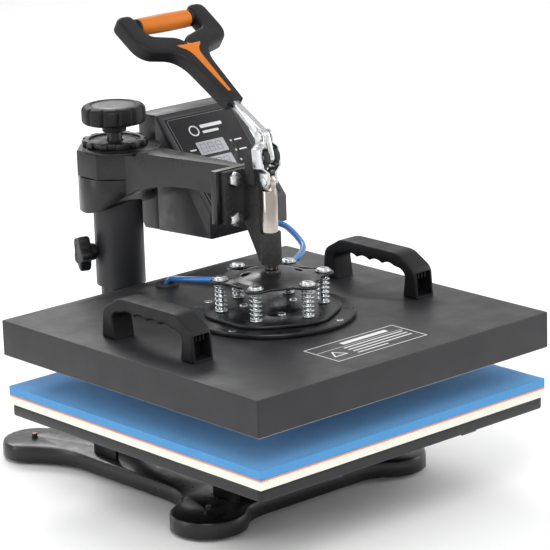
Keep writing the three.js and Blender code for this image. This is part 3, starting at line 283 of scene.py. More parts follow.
class Finish:
    def __init__(self, name, colour, roughness, metallic=0.0, **sockets):
        self.material = bpy.data.materials.new(name)
        self.material.use_nodes = True
        self.tree = self.material.node_tree
        self.shader = self.tree.nodes["Principled BSDF"]
        self.shader.inputs["Base Color"].default_value = (*colour, 1)
        self.shader.inputs["Roughness"].default_value = roughness
        self.shader.inputs["Metallic"].default_value = metallic
        for socket, value in sockets.items():
            self.shader.inputs[socket.replace("_", " ")].default_value = value
        self.colour = colour
        self.place = self.add("ShaderNodeTexCoord").outputs["Object"]
        self.relief = None

    def add(self, kind, **settings):
        node = self.tree.nodes.new(kind)
        for key, value in settings.items():
            setattr(node, key, value)
        return node

    def link(self, start, end):
        self.tree.links.new(start, end)

    def stretched(self, scale):
        mapping = self.add("ShaderNodeMapping")
        mapping.inputs["Scale"].default_value = scale
        self.link(self.place, mapping.inputs["Vector"])
        return mapping.outputs["Vector"]

    def noise(self, scale, detail=2.0, rough=0.5, stretch=None):
        texture = self.add("ShaderNodeTexNoise")
        texture.inputs["Scale"].default_value = scale
        texture.inputs["Detail"].default_value = detail
        texture.inputs["Roughness"].default_value = rough
        self.link(self.stretched(stretch) if stretch else self.place, texture.inputs["Vector"])
        return texture.outputs["Fac"]

    def spread(self, source, low, high, start=0.3, end=0.7):
        remap = self.add("ShaderNodeMapRange")
        for socket, value in (("From Min", start), ("From Max", end), ("To Min", low), ("To Max", high)):
            remap.inputs[socket].default_value = value
        self.link(source, remap.inputs["Value"])
        return remap.outputs["Result"]

    def vary_roughness(self, source, low, high):
        self.link(self.spread(source, low, high), self.shader.inputs["Roughness"])
        return self

    def vary_colour(self, source, other, most=1.0, start=0.35, end=0.75):
        mix = self.add("ShaderNodeMix", data_type="RGBA")
        first, second = (s for s in mix.inputs if s.type == "RGBA")
        previous = self.shader.inputs["Base Color"].links
        if previous:
            self.link(previous[0].from_socket, first)
        else:
            first.default_value = (*self.colour, 1)
        second.default_value = (*other, 1)
        self.link(self.spread(source, 0.0, most, start, end), mix.inputs["Factor"])
        self.link(mix.outputs[2], self.shader.inputs["Base Color"])
        return self

    def raised(self, source, depth, strength=1.0):
        """Adds a height of `depth` metres to the relief."""
        bump = self.add("ShaderNodeBump")
        bump.inputs["Strength"].default_value = strength
        bump.inputs["Distance"].default_value = depth
        self.link(source, bump.inputs["Height"])
        if self.relief:
            self.link(self.relief, bump.inputs["Normal"])
        self.relief = bump.outputs["Normal"]
        self.link(self.relief, self.shader.inputs["Normal"])
        return self


print("finish helpers ready")

# %% [markdown]
# ### Paint and castings
# Cast parts carry a thick gloss paint that flows a little, like orange peel. The toggle bracket is a
# raw sand casting under thin paint, so its surface is coarse. Sheet parts have a fine powder coat.

# %% Painted finishes


def gloss_casting():
    finish = Finish("gloss_casting", (0.005, 0.005, 0.006), 0.32, Specular_IOR_Level=0.36,
                    Coat_Weight=0.15, Coat_Roughness=0.2)
    finish.vary_roughness(finish.noise(60, 4), 0.24, 0.42)
    finish.vary_colour(finish.noise(25, 3), (0.0085, 0.0085, 0.0095), 0.8)
    finish.raised(finish.noise(260, 3), 0.00035, 0.35)
    return finish.material


def rough_casting():
    finish = Finish("rough_casting", (0.008, 0.008, 0.0085), 0.55)
    grains = finish.noise(620, 5, 0.65)
    finish.vary_roughness(finish.noise(300, 4), 0.38, 0.75)
    finish.vary_colour(grains, (0.035, 0.034, 0.034), 0.9, 0.45, 0.8)
    finish.raised(finish.noise(140, 3), 0.0008, 0.5)
    finish.raised(grains, 0.0012, 0.9)
    return finish.material


def powder_coat():
    finish = Finish("powder_coat", (0.0145, 0.0145, 0.0165), 0.46, Specular_IOR_Level=0.4)
    finish.vary_roughness(finish.noise(35, 3), 0.4, 0.54)
    finish.vary_colour(finish.noise(9, 2), (0.02, 0.02, 0.022), 0.7)
    finish.raised(finish.noise(1500, 2), 0.00018, 0.4)
    return finish.material


def satin_black_steel():
    finish = Finish("satin_black_steel", (0.005, 0.005, 0.006), 0.32, 0.2)
    finish.vary_roughness(finish.noise(80, 4), 0.24, 0.42)
    finish.vary_colour(finish.noise(40, 3), (0.018, 0.018, 0.02), 0.8)
    finish.raised(finish.noise(900, 2), 0.00012, 0.3)
    return finish.material


gloss = gloss_casting()
rough = rough_casting()
powder = powder_coat()
satin = satin_black_steel()
print("painted finishes:", gloss.name, rough.name, powder.name, satin.name)

# %% [markdown]
# ### Bare metals
# Bright zinc plate is a light metal with faint blue and yellow clouds and a fine rolling grain. The
# plunger is ground and polished; its warm tint and the darker streaks along it are painted reflection
# of warm surroundings. The heated plate is machined.

# %% Metal finishes


def zinc_plate():
    finish = Finish("zinc_plate", (0.62, 0.64, 0.66), 0.26, 1.0)
    finish.vary_roughness(finish.noise(220, 4), 0.18, 0.38)
    finish.vary_colour(finish.noise(55, 3), (0.66, 0.63, 0.55), 0.5)
    finish.vary_colour(finish.noise(90, 2), (0.46, 0.5, 0.56), 0.45)
    finish.raised(finish.noise(900, 3, stretch=(1, 1, 0.12)), 0.00006, 0.5)
    return finish.material


def polished_steel():
    # Painted reflection: the warm tint of the base colour stands for warm surroundings mirrored in the
    # rod.
    finish = Finish("polished_steel", (0.5, 0.455, 0.41), 0.14, 1.0)
    rings = finish.noise(1400, 2, stretch=(0.02, 0.02, 1))
    finish.vary_roughness(rings, 0.08, 0.2)
    # Painted reflection: darker warm streaks along the rod's length.
    finish.vary_colour(finish.noise(60, 3, stretch=(1, 1, 0.2)), (0.34, 0.3, 0.27), 0.8)
    finish.raised(rings, 0.00002, 0.4)
    return finish.material


def machined_aluminium():
    finish = Finish("machined_aluminium", (0.6, 0.6, 0.61), 0.34, 1.0)
    strokes = finish.noise(700, 3, stretch=(1, 0.03, 1))
    finish.vary_roughness(strokes, 0.26, 0.44)
    finish.vary_colour(finish.noise(18, 3), (0.5, 0.5, 0.49), 0.6)
    finish.raised(strokes, 0.00004, 0.5)
    return finish.material


def brass_metal():
    finish = Finish("brass_metal", (0.62, 0.4, 0.2), 0.3, 1.0)
    finish.vary_roughness(finish.noise(400, 3), 0.22, 0.42)
    finish.vary_colour(finish.noise(200, 3), (0.4, 0.24, 0.12), 0.6)
    finish.raised(finish.noise(1200, 2), 0.00004, 0.5)
    return finish.material


zinc = zinc_plate()
brass = brass_metal()
polished = polished_steel()
aluminium = machined_aluminium()
print("metal finishes:", zinc.name, polished.name, aluminium.name)

# %% [markdown]
# ### Plastic and rubber
# Moulded handles have a fine spark-eroded texture. The console is smoother, its control film is
# smoother still, and the grip is a softer orange plastic with shallow marks from handling.

# %% Plastic finishes


def moulded(name, colour, roughness, grain, depth, second, **sockets):
    finish = Finish(name, colour, roughness, **sockets)
    finish.vary_roughness(finish.noise(70, 3), roughness - 0.07, roughness + 0.09)
    finish.vary_colour(finish.noise(30, 3), second, 0.8)
    finish.raised(finish.noise(grain, 3), depth, 0.5)
    return finish.material


handle_black = moulded("handle_black", (0.005, 0.005, 0.006), 0.46, 1300, 0.00014, (0.008, 0.008, 0.009),
                       Specular_IOR_Level=0.26)
console_black = moulded("console_black", (0.019, 0.019, 0.022), 0.36, 1100, 0.0001, (0.028, 0.028, 0.031))
film = moulded("control_film", (0.007, 0.0066, 0.0085), 0.3, 500, 0.00002, (0.0095, 0.009, 0.0115),
               Specular_IOR_Level=0.32)
orange = moulded("grip_orange", (0.6, 0.165, 0.008), 0.46, 900, 0.00012, (0.49, 0.125, 0.006),
                 Specular_IOR_Level=0.32)
red = moulded("button_red", (0.42, 0.02, 0.018), 0.3, 700, 0.00004, (0.3, 0.012, 0.012))
rubber = moulded("foot_rubber", (0.01, 0.01, 0.01), 0.7, 800, 0.0002, (0.02, 0.02, 0.019))
screen = moulded("display_window", (0.42, 0.43, 0.46), 0.25, 400, 0.00002, (0.36, 0.37, 0.41))
ink = moulded("light_ink", (0.72, 0.72, 0.73), 0.5, 900, 0.00003, (0.6, 0.6, 0.62))
dim_segments = moulded("display_segments_grey", (0.2, 0.205, 0.23), 0.3, 400, 0.00002, (0.17, 0.175, 0.2))
label_film = moulded("label_film_black", (0.012, 0.012, 0.0125), 0.38, 500, 0.00002, (0.018, 0.018, 0.019))
grey_cap = moulded("knob_cap_grey", (0.075, 0.075, 0.08), 0.34, 900, 0.00005, (0.06, 0.06, 0.064))
grey_ink = moulded("grey_ink", (0.16, 0.16, 0.165), 0.5, 900, 0.00003, (0.12, 0.12, 0.125))
print("plastic finishes ready")

# %% [markdown]
# ### Foam and sleeve
# The pads are open foam: tiny cells show as dots and pits. The blue layer is paler where the cut
# opens its cells, which noise at the scale of the cells shows. The hose is smooth blue silicone,
# and its clouds and marks follow its own UV map.

# %% Soft finishes


def foam(name, colour, second, cell):
    finish = Finish(name, colour, 0.85, Sheen_Weight=0.15, Sheen_Roughness=0.5)
    cells = finish.add("ShaderNodeTexVoronoi")
    cells.inputs["Scale"].default_value = cell
    finish.link(finish.place, cells.inputs["Vector"])
    finish.vary_colour(finish.noise(12, 3), second, 0.6)
    finish.vary_colour(cells.outputs["Distance"], tuple(0.7 * c for c in colour), 0.5, 0.35, 0.8)
    finish.vary_roughness(finish.noise(200, 3), 0.75, 0.95)
    finish.raised(cells.outputs["Distance"], 0.0005, 0.5)
    return finish.material


def silicone_sleeve():
    finish = Finish("silicone_sleeve", (0.02, 0.14, 0.42), 0.26, Coat_Weight=0.5, Coat_Roughness=0.12)
    finish.place = finish.add("ShaderNodeUVMap", uv_map="along").outputs["UV"]
    finish.vary_colour(finish.noise(5, 3), (0.035, 0.2, 0.54), 0.8)
    finish.vary_roughness(finish.noise(8, 2), 0.2, 0.36)
    finish.raised(finish.noise(14, 3), 0.0002, 0.4)
    return finish.material


blue_foam = foam("blue_foam", (0.055, 0.265, 0.56), (0.075, 0.3, 0.6), 1500)
cream_foam = foam("cream_foam", (0.8, 0.79, 0.7), (0.86, 0.85, 0.77), 1100)
salmon_felt = foam("salmon_felt", (0.82, 0.3, 0.19), (0.72, 0.24, 0.16), 1600)
sleeve = silicone_sleeve()
print("soft finishes:", blue_foam.name, cream_foam.name, salmon_felt.name, sleeve.name)

FINISH = {
    "cast_black": gloss, "rough_casting": rough, "powder_coat": powder, "black_steel": satin,
    "zinc": zinc, "polished_steel": polished, "cast_aluminium": aluminium,
    "black_plastic": handle_black, "console_plastic": console_black, "overlay_film": film,
    "orange_plastic": orange, "red_plastic": red, "black_rubber": rubber,
    "blue_silicone": blue_foam, "white_foam": cream_foam, "blue_hose": sleeve,
}
SLOT = {part["node"]: part["material_slot"] for part in frame["record"]["subparts"]}
BODY = {node: body for body, members in frame["record"]["behaviour"]["bodies"].items()
        for node in members}
for name, node in nodes.items():
    node.data.materials.clear()
    node.data.materials.append(FINISH[SLOT[name]])
print("every CAD node has its finish:", len(SLOT))

# %% [markdown]
# ## The hose
# A silicone sleeve carries the heater's leads from the console to the platen. It leaves the console
# forwards, sags in one loop, passes under the spring plate and turns down into the grommet. Its route
# is a list of given points. The sleeve is one fixed mesh on no body, so it follows neither the head
# nor the plunger.

# %% Hose
HOSE_R = 3.25
HOSE_ROUTE = [
    (129, 86.95, 231.5), (129, 83.25, 231.5), (129.5, 75.25, 230.8), (130, 65.25, 228.6),
    (127, 46.25, 221.6), (117, 27.25, 215.6), (90, 9.25, 212), (62, -2.75, 213.1),
    (32, -10.75, 215.4), (10, -15.25, 216.6), (-10, -12.25, 216.6), (-22, 2.25, 215.1),
    (-25, 24.25, 211.6), (-19, 51.25, 205.6), (-10, 77.25, 199.1), (-2, 98.25, 194.1),
    (3, 108.75, 189.1), (3, 116.25, 181.6),
]


def smooth_route(points, steps=6):
    """Points on one smooth line through the given points, by Catmull-Rom's rule."""
    knots = [Vector(p) * MM for p in points]
    ends = [2 * knots[0] - knots[1]] + knots + [2 * knots[-1] - knots[-2]]
    line = [knots[0]]
    for p0, p1, p2, p3 in zip(ends, ends[1:], ends[2:], ends[3:]):
        for i in range(1, steps + 1):
            t = i / steps
            line.append(0.5 * (2 * p1 + (p2 - p0) * t + (2 * p0 - 5 * p1 + 4 * p2 - p3) * t ** 2
                               + (3 * p1 - p0 - 3 * p2 + p3) * t ** 3))
    return line


def tube_along(line, radius, sides=16):
    """A closed tube round a line, with a UV map in radii along and round it."""
    bm = bmesh.new()
    layer = bm.loops.layers.uv.new("along")
    forward = (line[1] - line[0]).normalized()
    side = forward.orthogonal().normalized()
    rings, travelled, where = [], 0.0, []
    for i, point in enumerate(line):
        ahead = (line[min(i + 1, len(line) - 1)] - line[max(i - 1, 0)]).normalized()
        side = (forward.rotation_difference(ahead) @ side).normalized()
        forward = ahead
        other = forward.cross(side)
        travelled += (point - line[i - 1]).length if i else 0
        where.append(travelled / radius)
        turns = [2 * math.pi * k / sides for k in range(sides)]
        rings.append([bm.verts.new(point + radius * (math.cos(a) * side + math.sin(a) * other))
                      for a in turns])
    for i in range(len(line) - 1):
        for k in range(sides):
            m = (k + 1) % sides
            face = bm.faces.new((rings[i][k], rings[i][m], rings[i + 1][m], rings[i + 1][k]))
            corners = ((i, k), (i, k + 1), (i + 1, k + 1), (i + 1, k))
            for loop, (a, b) in zip(face.loops, corners):
                loop[layer].uv = (where[a], 2 * math.pi * b / sides)
    bm.faces.new(list(reversed(rings[0])))
    bm.faces.new(rings[-1])
    return bm, travelled


hose_line = smooth_route(HOSE_ROUTE)
hose_bm, HOSE_LENGTH = tube_along(hose_line, HOSE_R * MM)
hose = mesh_piece("heater_hose_sleeve", from_bmesh("hose", hose_bm), None, sleeve, 60)
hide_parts("heater_hose")
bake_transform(hose)
print("hose length", round(HOSE_LENGTH, 3), "m")

# %% [markdown]
# ## Light and floor
# A large soft key light hangs on the left, a weaker fill stands on the right, and a strip behind and
# above draws the edges of the black parts. The floor is a plain pale sheet that curves up at the back.
# The standard view keeps blacks deep and lets the pale floor reach white.

# %% Light and floor


def area_light(name, place, target, size, power, colour=(1, 1, 1)):
    data = bpy.data.lights.new(name, "AREA")
    data.shape = "RECTANGLE"
    data.size, data.size_y = size
    data.energy = power
    data.color = colour
    light = bpy.data.objects.new(name, data)
    direction = Vector(target) - Vector(place)
    aim = direction.to_track_quat("-Z", "Y").to_matrix().to_4x4()
    light.matrix_world = Matrix.Translation(place) @ aim
    bpy.context.scene.collection.objects.link(light)
    return light


CENTRE = (0, 0.05, 0.2)
area_light("key", (-1.3, -1.5, 2.0), CENTRE, (1.3, 1.3), 30)
area_light("fill", (1.9, -1.1, 1.1), CENTRE, (1.0, 1.6), 13)
area_light("side", (-2.0, 0.9, 0.9), CENTRE, (0.8, 1.5), 10)
area_light("back", (0.7, 2.0, 1.8), CENTRE, (1.6, 0.7), 24)
world = bpy.data.worlds.new("studio")
world.use_nodes = True
world.node_tree.nodes["Background"].inputs["Color"].default_value = (1, 1, 1, 1)
world.node_tree.nodes["Background"].inputs["Strength"].default_value = 0.85
bpy.context.scene.world = world
bpy.context.scene.view_settings.view_transform = "Standard"

floor_finish = Finish("pale_floor", (0.94, 0.94, 0.94), 0.7)
floor_finish.vary_roughness(floor_finish.noise(3, 2), 0.65, 0.75)
floor_finish.vary_colour(floor_finish.noise(1.5, 2), (0.92, 0.92, 0.92), 0.5)


def floor_mesh(width=14, front=-6, wall=4, height=4, radius=1.5, steps=16):
    bm = bmesh.new()
    angles = [math.pi / 2 * i / steps for i in range(steps + 1)]
    bend = [(wall + radius * math.sin(a), radius - radius * math.cos(a)) for a in angles]
    line = [(front, 0), *bend, (wall + radius, height)]
    rows = [[bm.verts.new((x, y, z)) for x in (-width / 2, width / 2)] for y, z in line]
    for a, b in zip(rows, rows[1:]):
        bm.faces.new((a[0], a[1], b[1], b[0]))
    mesh = bpy.data.meshes.new("floor")
    bm.to_mesh(mesh)
    bm.free()
    mesh.polygons.foreach_set("use_smooth", [True] * len(mesh.polygons))
    return mesh


floor = bpy.data.objects.new("floor", floor_mesh())
floor.data.materials.append(floor_finish.material)
bpy.context.scene.collection.objects.link(floor)
print("four lights and a floor")

# %% [markdown]
# ## Rounded edges on machined and cast parts
# Real edges are never sharp: a thin rounded edge catches the light and shows the shape of a black
# part. Each CAD solid that keeps its shape is copied, its flat faces are merged again, and a bevel
# rounds every edge that turns by more than a few degrees.

# %% Rounded parts
GENTLE = math.radians(28)


def rounded_part(node, width, finish=None, segments=2):
    """A copy of a CAD node with rounded edges, `width` in millimetres, that stands in its place."""
    bm = bmesh.new()
    bm.from_mesh(nodes[node].data)
    bmesh.ops.remove_doubles(bm, verts=bm.verts, dist=2e-6)
    bmesh.ops.dissolve_limit(bm, angle_limit=math.radians(0.6), verts=bm.verts, edges=bm.edges)
    mesh = bpy.data.meshes.new(node)
    bm.to_mesh(mesh)
    bm.free()
    carrier = bpy.data.objects.new("carrier", mesh)
    bpy.context.scene.collection.objects.link(carrier)
    bevel = carrier.modifiers.new("edge", "BEVEL")
    bevel.width = width * MM
    bevel.segments = segments
    bevel.limit_method = "ANGLE"
    bevel.angle_limit = GENTLE
    bevel.harden_normals = False
    bevel.use_clamp_overlap = True
    piece = mesh_piece(node + "_finished", evaluated(carrier), BODY[node],
                       finish or FINISH[SLOT[node]], 40)
    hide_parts(node)
    return piece


ROUNDED = {
    "base_frame": 0.7, "foot_front_left": 0.5, "foot_front_right": 0.5, "foot_rear_left": 0.5,
    "foot_rear_right": 0.5, "plate_support": 0.5, "lower_plate": 0.5, "column_post": 0.5,
    "lift_nut": 0.4, "swing_arm": 0.9, "column_sleeve": 0.6, "cover_disc": 0.5, "ring_nut": 0.5,
    "toggle_bracket": 0.8, "fork_pin": 0.4, "console_front": 0.8, "console_rear": 0.8,
    "power_inlet": 0.3, "spindle": 0.3, "lever_bar": 0.6, "link_pin": 0.4, "link_plate_left": 0.35,
    "link_plate_right": 0.35, "spider_plate": 0.6, "platen_cover": 0.8, "heat_plate": 0.4,
    "grommet": 0.4, "power_switch": 0.3, "control_overlay": 0.12,
    "mount_disc": 0.6, "spring_disc": 0.4, "plunger_rod": 0.4, "bracket_bolt_lower_left": 0.5,
    "bracket_bolt_lower_right": 0.5, "bracket_bolt_upper_left": 0.5, "bracket_bolt_upper_right": 0.5,
}
for node, width in ROUNDED.items():
    rounded_part(node, width, satin if node == "spindle" else None)
print("parts with rounded edges:", len(ROUNDED))

# %% [markdown]
# ## Pads
# A blue foam pad lies on a cream one, with a thin salmon felt between them. Each is cut from a flat
# sheet, so it is a slab whose edges are barely rounded. A fine grid of points, moved a little by
# noise, gives the slightly uneven top and the cut sides of real foam.

# %% Pads
from mathutils import noise


def slab_mesh(name, half, z0, z1, edge, ripple, cells=56):
    """A slab with rounded edges over a square, in millimetres, uneven by `ripple`."""
    def steps(a, b, count):
        rim = [a, a + edge * 0.3, a + edge]
        inner = [a + edge + (b - a - 2 * edge) * i / count for i in range(1, count)]
        return rim + inner + [b - edge, b - edge * 0.3, b]

    across, height = steps(-half, half, cells), steps(z0, z1, 2)
    last, top = len(across) - 1, len(height) - 1
    bm, made = bmesh.new(), {}

    def vertex(i, j, k):
        if (i, j, k) not in made:
            point = Vector((across[i], across[j], height[k]))
            core = Vector((max(-half + edge, min(half - edge, point.x)),
                           max(-half + edge, min(half - edge, point.y)),
                           max(z0 + edge, min(z1 - edge, point.z))))
            if (point - core).length > 1e-9:
                point = core + (point - core).normalized() * edge
            sway = noise.noise_vector(point * 0.045 + Vector((0, 0, z0))) * ripple
            limit = half - ripple
            point.x = max(-limit, min(limit, point.x)) + sway.x
            point.y = max(-limit, min(limit, point.y)) + sway.y
            point.z += (sway.z - ripple) * 0.5 if k == top else 0
            made[i, j, k] = bm.verts.new(point * MM)
        return made[i, j, k]

    for i in range(last):
        for j in range(last):
            for k in (0, top):
                bm.faces.new([vertex(i, j, k), vertex(i + 1, j, k),
                              vertex(i + 1, j + 1, k), vertex(i, j + 1, k)])
        for k in range(top):
            for j in (0, last):
                bm.faces.new([vertex(i, j, k), vertex(i + 1, j, k),
                              vertex(i + 1, j, k + 1), vertex(i, j, k + 1)])
                bm.faces.new([vertex(j, i, k), vertex(j, i + 1, k),
                              vertex(j, i + 1, k + 1), vertex(j, i, k + 1)])
    return from_bmesh(name, bm, Matrix.Translation((0, PLATEN_Y, 0)))


FELT_H, FELT_RISE = 1.5, 0.3    # the felt's thickness, and the gap above the cream foam that it fills
cream_low, cream_top = low("foam_base")[2] / MM, high("foam_base")[2] / MM
blue_low, blue_top = low("foam_top")[2] / MM, high("foam_top")[2] / MM
pad_half = (high("foam_top")[0] - low("foam_top")[0]) / 2 / MM
felt_low, felt_top = cream_top - FELT_H + FELT_RISE, cream_top + FELT_RISE


def pad_layer(name, z0, z1, edge, ripple, finish):
    slab = slab_mesh(name, pad_half, z0, z1, edge, ripple)
    return mesh_piece(name, slab, "base", finish, 60)


blue_pad = pad_layer("blue_foam_pad", blue_low, blue_top, 0.9, 0.3, blue_foam)
cream_pad = pad_layer("cream_foam_pad", cream_low, felt_low, 0.7, 0.3, cream_foam)
felt = pad_layer("salmon_felt_layer", felt_low, felt_top, 0.3, 0.15, salmon_felt)
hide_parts("foam_top")
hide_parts("foam_base")
print("pads", round(2 * pad_half), "mm square")

# %% [markdown]
# ## Springs
# Six springs stand round the plunger. A spring is one spiral with a flat closed turn at each end, and
# the same spring stands on six points of a circle, so Geometry Nodes make it from six numbers. The
# springs are one fixed mesh on no body, not blended between the plunger and the platen.

# %% Node tree helpers
BOLT_CIRCLE = 52
FIRST_BOLT = math.radians(30)


class Nodes:
    """A Geometry Nodes tree in the making, with named inputs."""

    def __init__(self, name, inputs):
        self.tree = bpy.data.node_groups.new(name, "GeometryNodeTree")
        self.sockets = {}
        for label, kind in inputs:
            self.sockets[label] = self.tree.interface.new_socket(
                label, in_out="INPUT", socket_type=kind)
        self.tree.interface.new_socket("Geometry", in_out="OUTPUT", socket_type="NodeSocketGeometry")
        self.given = self.tree.nodes.new("NodeGroupInput").outputs
        self.result = self.tree.nodes.new("NodeGroupOutput").inputs

    def add(self, kind, links=None, values=None, **settings):
        node = self.tree.nodes.new(kind)
        for key, value in settings.items():
            setattr(node, key, value)
        for socket, source in (links or {}).items():
            self.tree.links.new(source, node.inputs[socket])
        for socket, value in (values or {}).items():
            node.inputs[socket].default_value = value
        return node.outputs[0]

    def circle(self):
        """Points on a circle, from the inputs Count, Circle Radius and First Angle."""
        ring = self.add("GeometryNodeMeshCircle", {
            "Vertices": self.given["Count"], "Radius": self.given["Circle Radius"]})
        turn_ring = self.add("ShaderNodeCombineXYZ", {"Z": self.given["First Angle"]})
        return self.add("GeometryNodeTransform", {"Geometry": ring, "Rotation": turn_ring})

    def finish(self, geometry):
        realised = self.add("GeometryNodeRealizeInstances", {"Geometry": geometry})
        finished = self.add("GeometryNodeSetMaterial", {
            "Geometry": realised, "Material": self.given["Finish"]})
        self.tree.links.new(finished, self.result[0])

    def build(self, values):
        """The mesh that the tree makes with these input values, in metres."""
        carrier = bpy.data.objects.new("carrier", bpy.data.meshes.new("carrier"))
        modifier = carrier.modifiers.new("tree", "NODES")
        modifier.node_group = self.tree
        for label, value in values.items():
            modifier[self.sockets[label].identifier] = value
        bpy.context.scene.collection.objects.link(carrier)
        return evaluated(carrier)


FLOAT, INT = "NodeSocketFloat", "NodeSocketInt"
print("node tree helpers ready")

# %% Springs
coil = Nodes("ring_of_springs", [
    ("Turns", FLOAT), ("Coil Radius", FLOAT), ("Wire Radius", FLOAT), ("Height", FLOAT),
    ("Circle Radius", FLOAT), ("First Angle", FLOAT), ("Count", INT), ("Finish", "NodeSocketMaterial")])
spiral = coil.add("GeometryNodeCurveSpiral", {
    "Rotations": coil.given["Turns"], "Start Radius": coil.given["Coil Radius"],
    "End Radius": coil.given["Coil Radius"], "Height": coil.given["Height"]}, {"Resolution": 20})
end_turn = coil.add("GeometryNodeCurvePrimitiveCircle", {"Radius": coil.given["Coil Radius"]},
                    {"Resolution": 20})
lift = coil.add("ShaderNodeCombineXYZ", {"Z": coil.given["Height"]})
upper_turn = coil.add("GeometryNodeTransform", {"Geometry": end_turn, "Translation": lift})
curves = coil.tree.nodes.new("GeometryNodeJoinGeometry")
for part in (upper_turn, end_turn, spiral):
    coil.tree.links.new(part, curves.inputs[0])
section = coil.add("GeometryNodeCurvePrimitiveCircle", {"Radius": coil.given["Wire Radius"]},
                   {"Resolution": 7})
spring = coil.add("GeometryNodeCurveToMesh", {
    "Curve": curves.outputs[0], "Profile Curve": section}, {"Fill Caps": True})
coil.finish(coil.add("GeometryNodeInstanceOnPoints", {"Points": coil.circle(), "Instance": spring}))

SPRINGS = [f"spring_{i}" for i in range(1, 7)]
TURNS, COIL_R, WIRE_R = 6.0, 5.5, 0.95
spring_low, spring_high = low("spring_1")[2], high("spring_1")[2]
springs_mesh = coil.build({
    "Turns": TURNS, "Coil Radius": COIL_R * MM, "Wire Radius": WIRE_R * MM,
    "Height": spring_high - spring_low - 2 * WIRE_R * MM,
    "Circle Radius": BOLT_CIRCLE * MM, "First Angle": FIRST_BOLT, "Count": 6, "Finish": zinc})
spring_seat = Matrix.Translation((0, PLATEN_Y, spring_low + WIRE_R * MM))
springs = mesh_piece("springs", placed(springs_mesh, spring_seat), None, zinc, 60)
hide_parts(*SPRINGS)
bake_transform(springs)
print("springs:", len(springs.data.polygons), "faces")

# %% [markdown]
# ## Screws
# Six bolts with a washer and a pan head guide the springs, small pan heads hold the spring disc, and
# countersunk screws hold the mounting disc. Each kind is drawn once, as a turned profile with a cross
# cut into its head, and one tree stands copies of it round a circle.

# %% Screws
crowd = Nodes("ring_of_screws", [
    ("Screw", "NodeSocketObject"), ("Circle Radius", FLOAT), ("First Angle", FLOAT), ("Count", INT),
    ("Finish", "NodeSocketMaterial")])
screw_info = crowd.tree.nodes.new("GeometryNodeObjectInfo")
crowd.tree.links.new(crowd.given["Screw"], screw_info.inputs["Object"])
crowd.finish(crowd.add("GeometryNodeInstanceOnPoints", {
    "Points": crowd.circle(), "Instance": screw_info.outputs["Geometry"]}))


def cross_cut(mesh, top, reach, width, depth):
    """The mesh with a cross-shaped recess cut into it from its top, in millimetres."""
    h = width / 2
    plus = [(reach, -h), (reach, h), (h, h), (h, reach), (-h, reach), (-h, h), (-reach, h),
            (-reach, -h), (-h, -h), (-h, -reach), (h, -reach), (h, -h)]
    cutter = bpy.data.objects.new("cutter", plate([plus], top - depth, top + 2))
    target = bpy.data.objects.new("target", mesh)
    for obj in (cutter, target):
        bpy.context.scene.collection.objects.link(obj)
    cut = target.modifiers.new("cut", "BOOLEAN")
    cut.object, cut.operation, cut.solver = cutter, "DIFFERENCE", "EXACT"
    result = evaluated(target)
    bpy.data.objects.remove(cutter)
    return result


def screws(name, head, circle, first, count, lift=0.0):
    """`count` copies of a screw on a circle that goes with the platen, in millimetres and degrees."""
    carrier = bpy.data.objects.new("one_screw", head)
    mesh = crowd.build({"Screw": carrier, "Circle Radius": circle * MM,
                        "First Angle": math.radians(first), "Count": count, "Finish": zinc})
    bpy.data.objects.remove(carrier)
    at_circle = Matrix.Translation((0, PLATEN_Y, lift * MM))
    return mesh_piece(name, placed(mesh, at_circle), "platen", zinc, 35)


def thread(r, z0, z1, pitch, depth):
    """Profile points of a threaded shank: a row of small ridges."""
    count = int((z1 - z0) / pitch)
    points = []
    for i in range(count):
        z = z0 + i * pitch
        points += [(r - depth, z), (r, z + pitch * 0.5)]
    return points + [(r - depth, z1)]


shank_low = low("spring_bolt_1")[2] / MM
HEAD_H = 3.5
seat = high("spring_bolt_1")[2] / MM - HEAD_H
shank = thread(3.2, shank_low + 0.1, seat - 0.2, 1.3, 0.32)
washer = [(7.6, 0), (8, 0.3), (8, 1.0), (7.7, 1.3)]
pan_head = [(6.5, 1.3), (6.5, 2.3), (6.1, 2.9), (5, 3.35), (3, HEAD_H), (0.01, HEAD_H)]
bolt_profile = [(0.01, shank_low), *shank, *((r, seat + z) for r, z in washer + pan_head)]
bolt = cross_cut(from_bmesh("bolt", turned(bolt_profile, 24)), seat + HEAD_H, 3.1, 1.1, 1.6)
bolts = screws("spring_bolts", bolt, BOLT_CIRCLE, math.degrees(FIRST_BOLT), len(SPRINGS))
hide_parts(*[f"spring_bolt_{i}" for i in range(1, 7)])

DISC_SCREW_CIRCLE, SPRING_DISC_SCREW_CIRCLE = 76, 30
disc_top = high("mount_disc")[2] / MM
flat_profile = [(0.01, -0.2), (4.2, -0.2), (4.2, 0.15), (3.9, 0.35), (0.01, 0.4)]
flat = cross_cut(from_bmesh("flat", turned(flat_profile, 24)), 0.4, 2.4, 0.8, 0.45)
flat_screws = screws("disc_screws", flat, DISC_SCREW_CIRCLE, 17, 4, disc_top)
inner_top = high("spring_disc")[2] / MM
pan_profile = [(0.01, -0.2), (4.2, -0.2), (4.2, 0.7), (3.9, 1.4), (3, 1.9), (1.5, 2.2), (0.01, 2.2)]
pan = cross_cut(from_bmesh("pan", turned(pan_profile, 24)), 2.2, 2.2, 0.8, 1)
pan_screws = screws("spring_disc_screws", pan, SPRING_DISC_SCREW_CIRCLE, 5, 3, inner_top)
print("screws:", len(bolts.data.polygons), "faces on the six bolts")

# %% [markdown]
# ## The lever's handle
# The handle is one moulding: a stem that splits into a D, with a crossbar for the grip. It is drawn
# flat as an outline with a hole and given a thick rounded edge, then laid along the lever. An orange
# inlay shaped like a Y fills a groove in the stem.

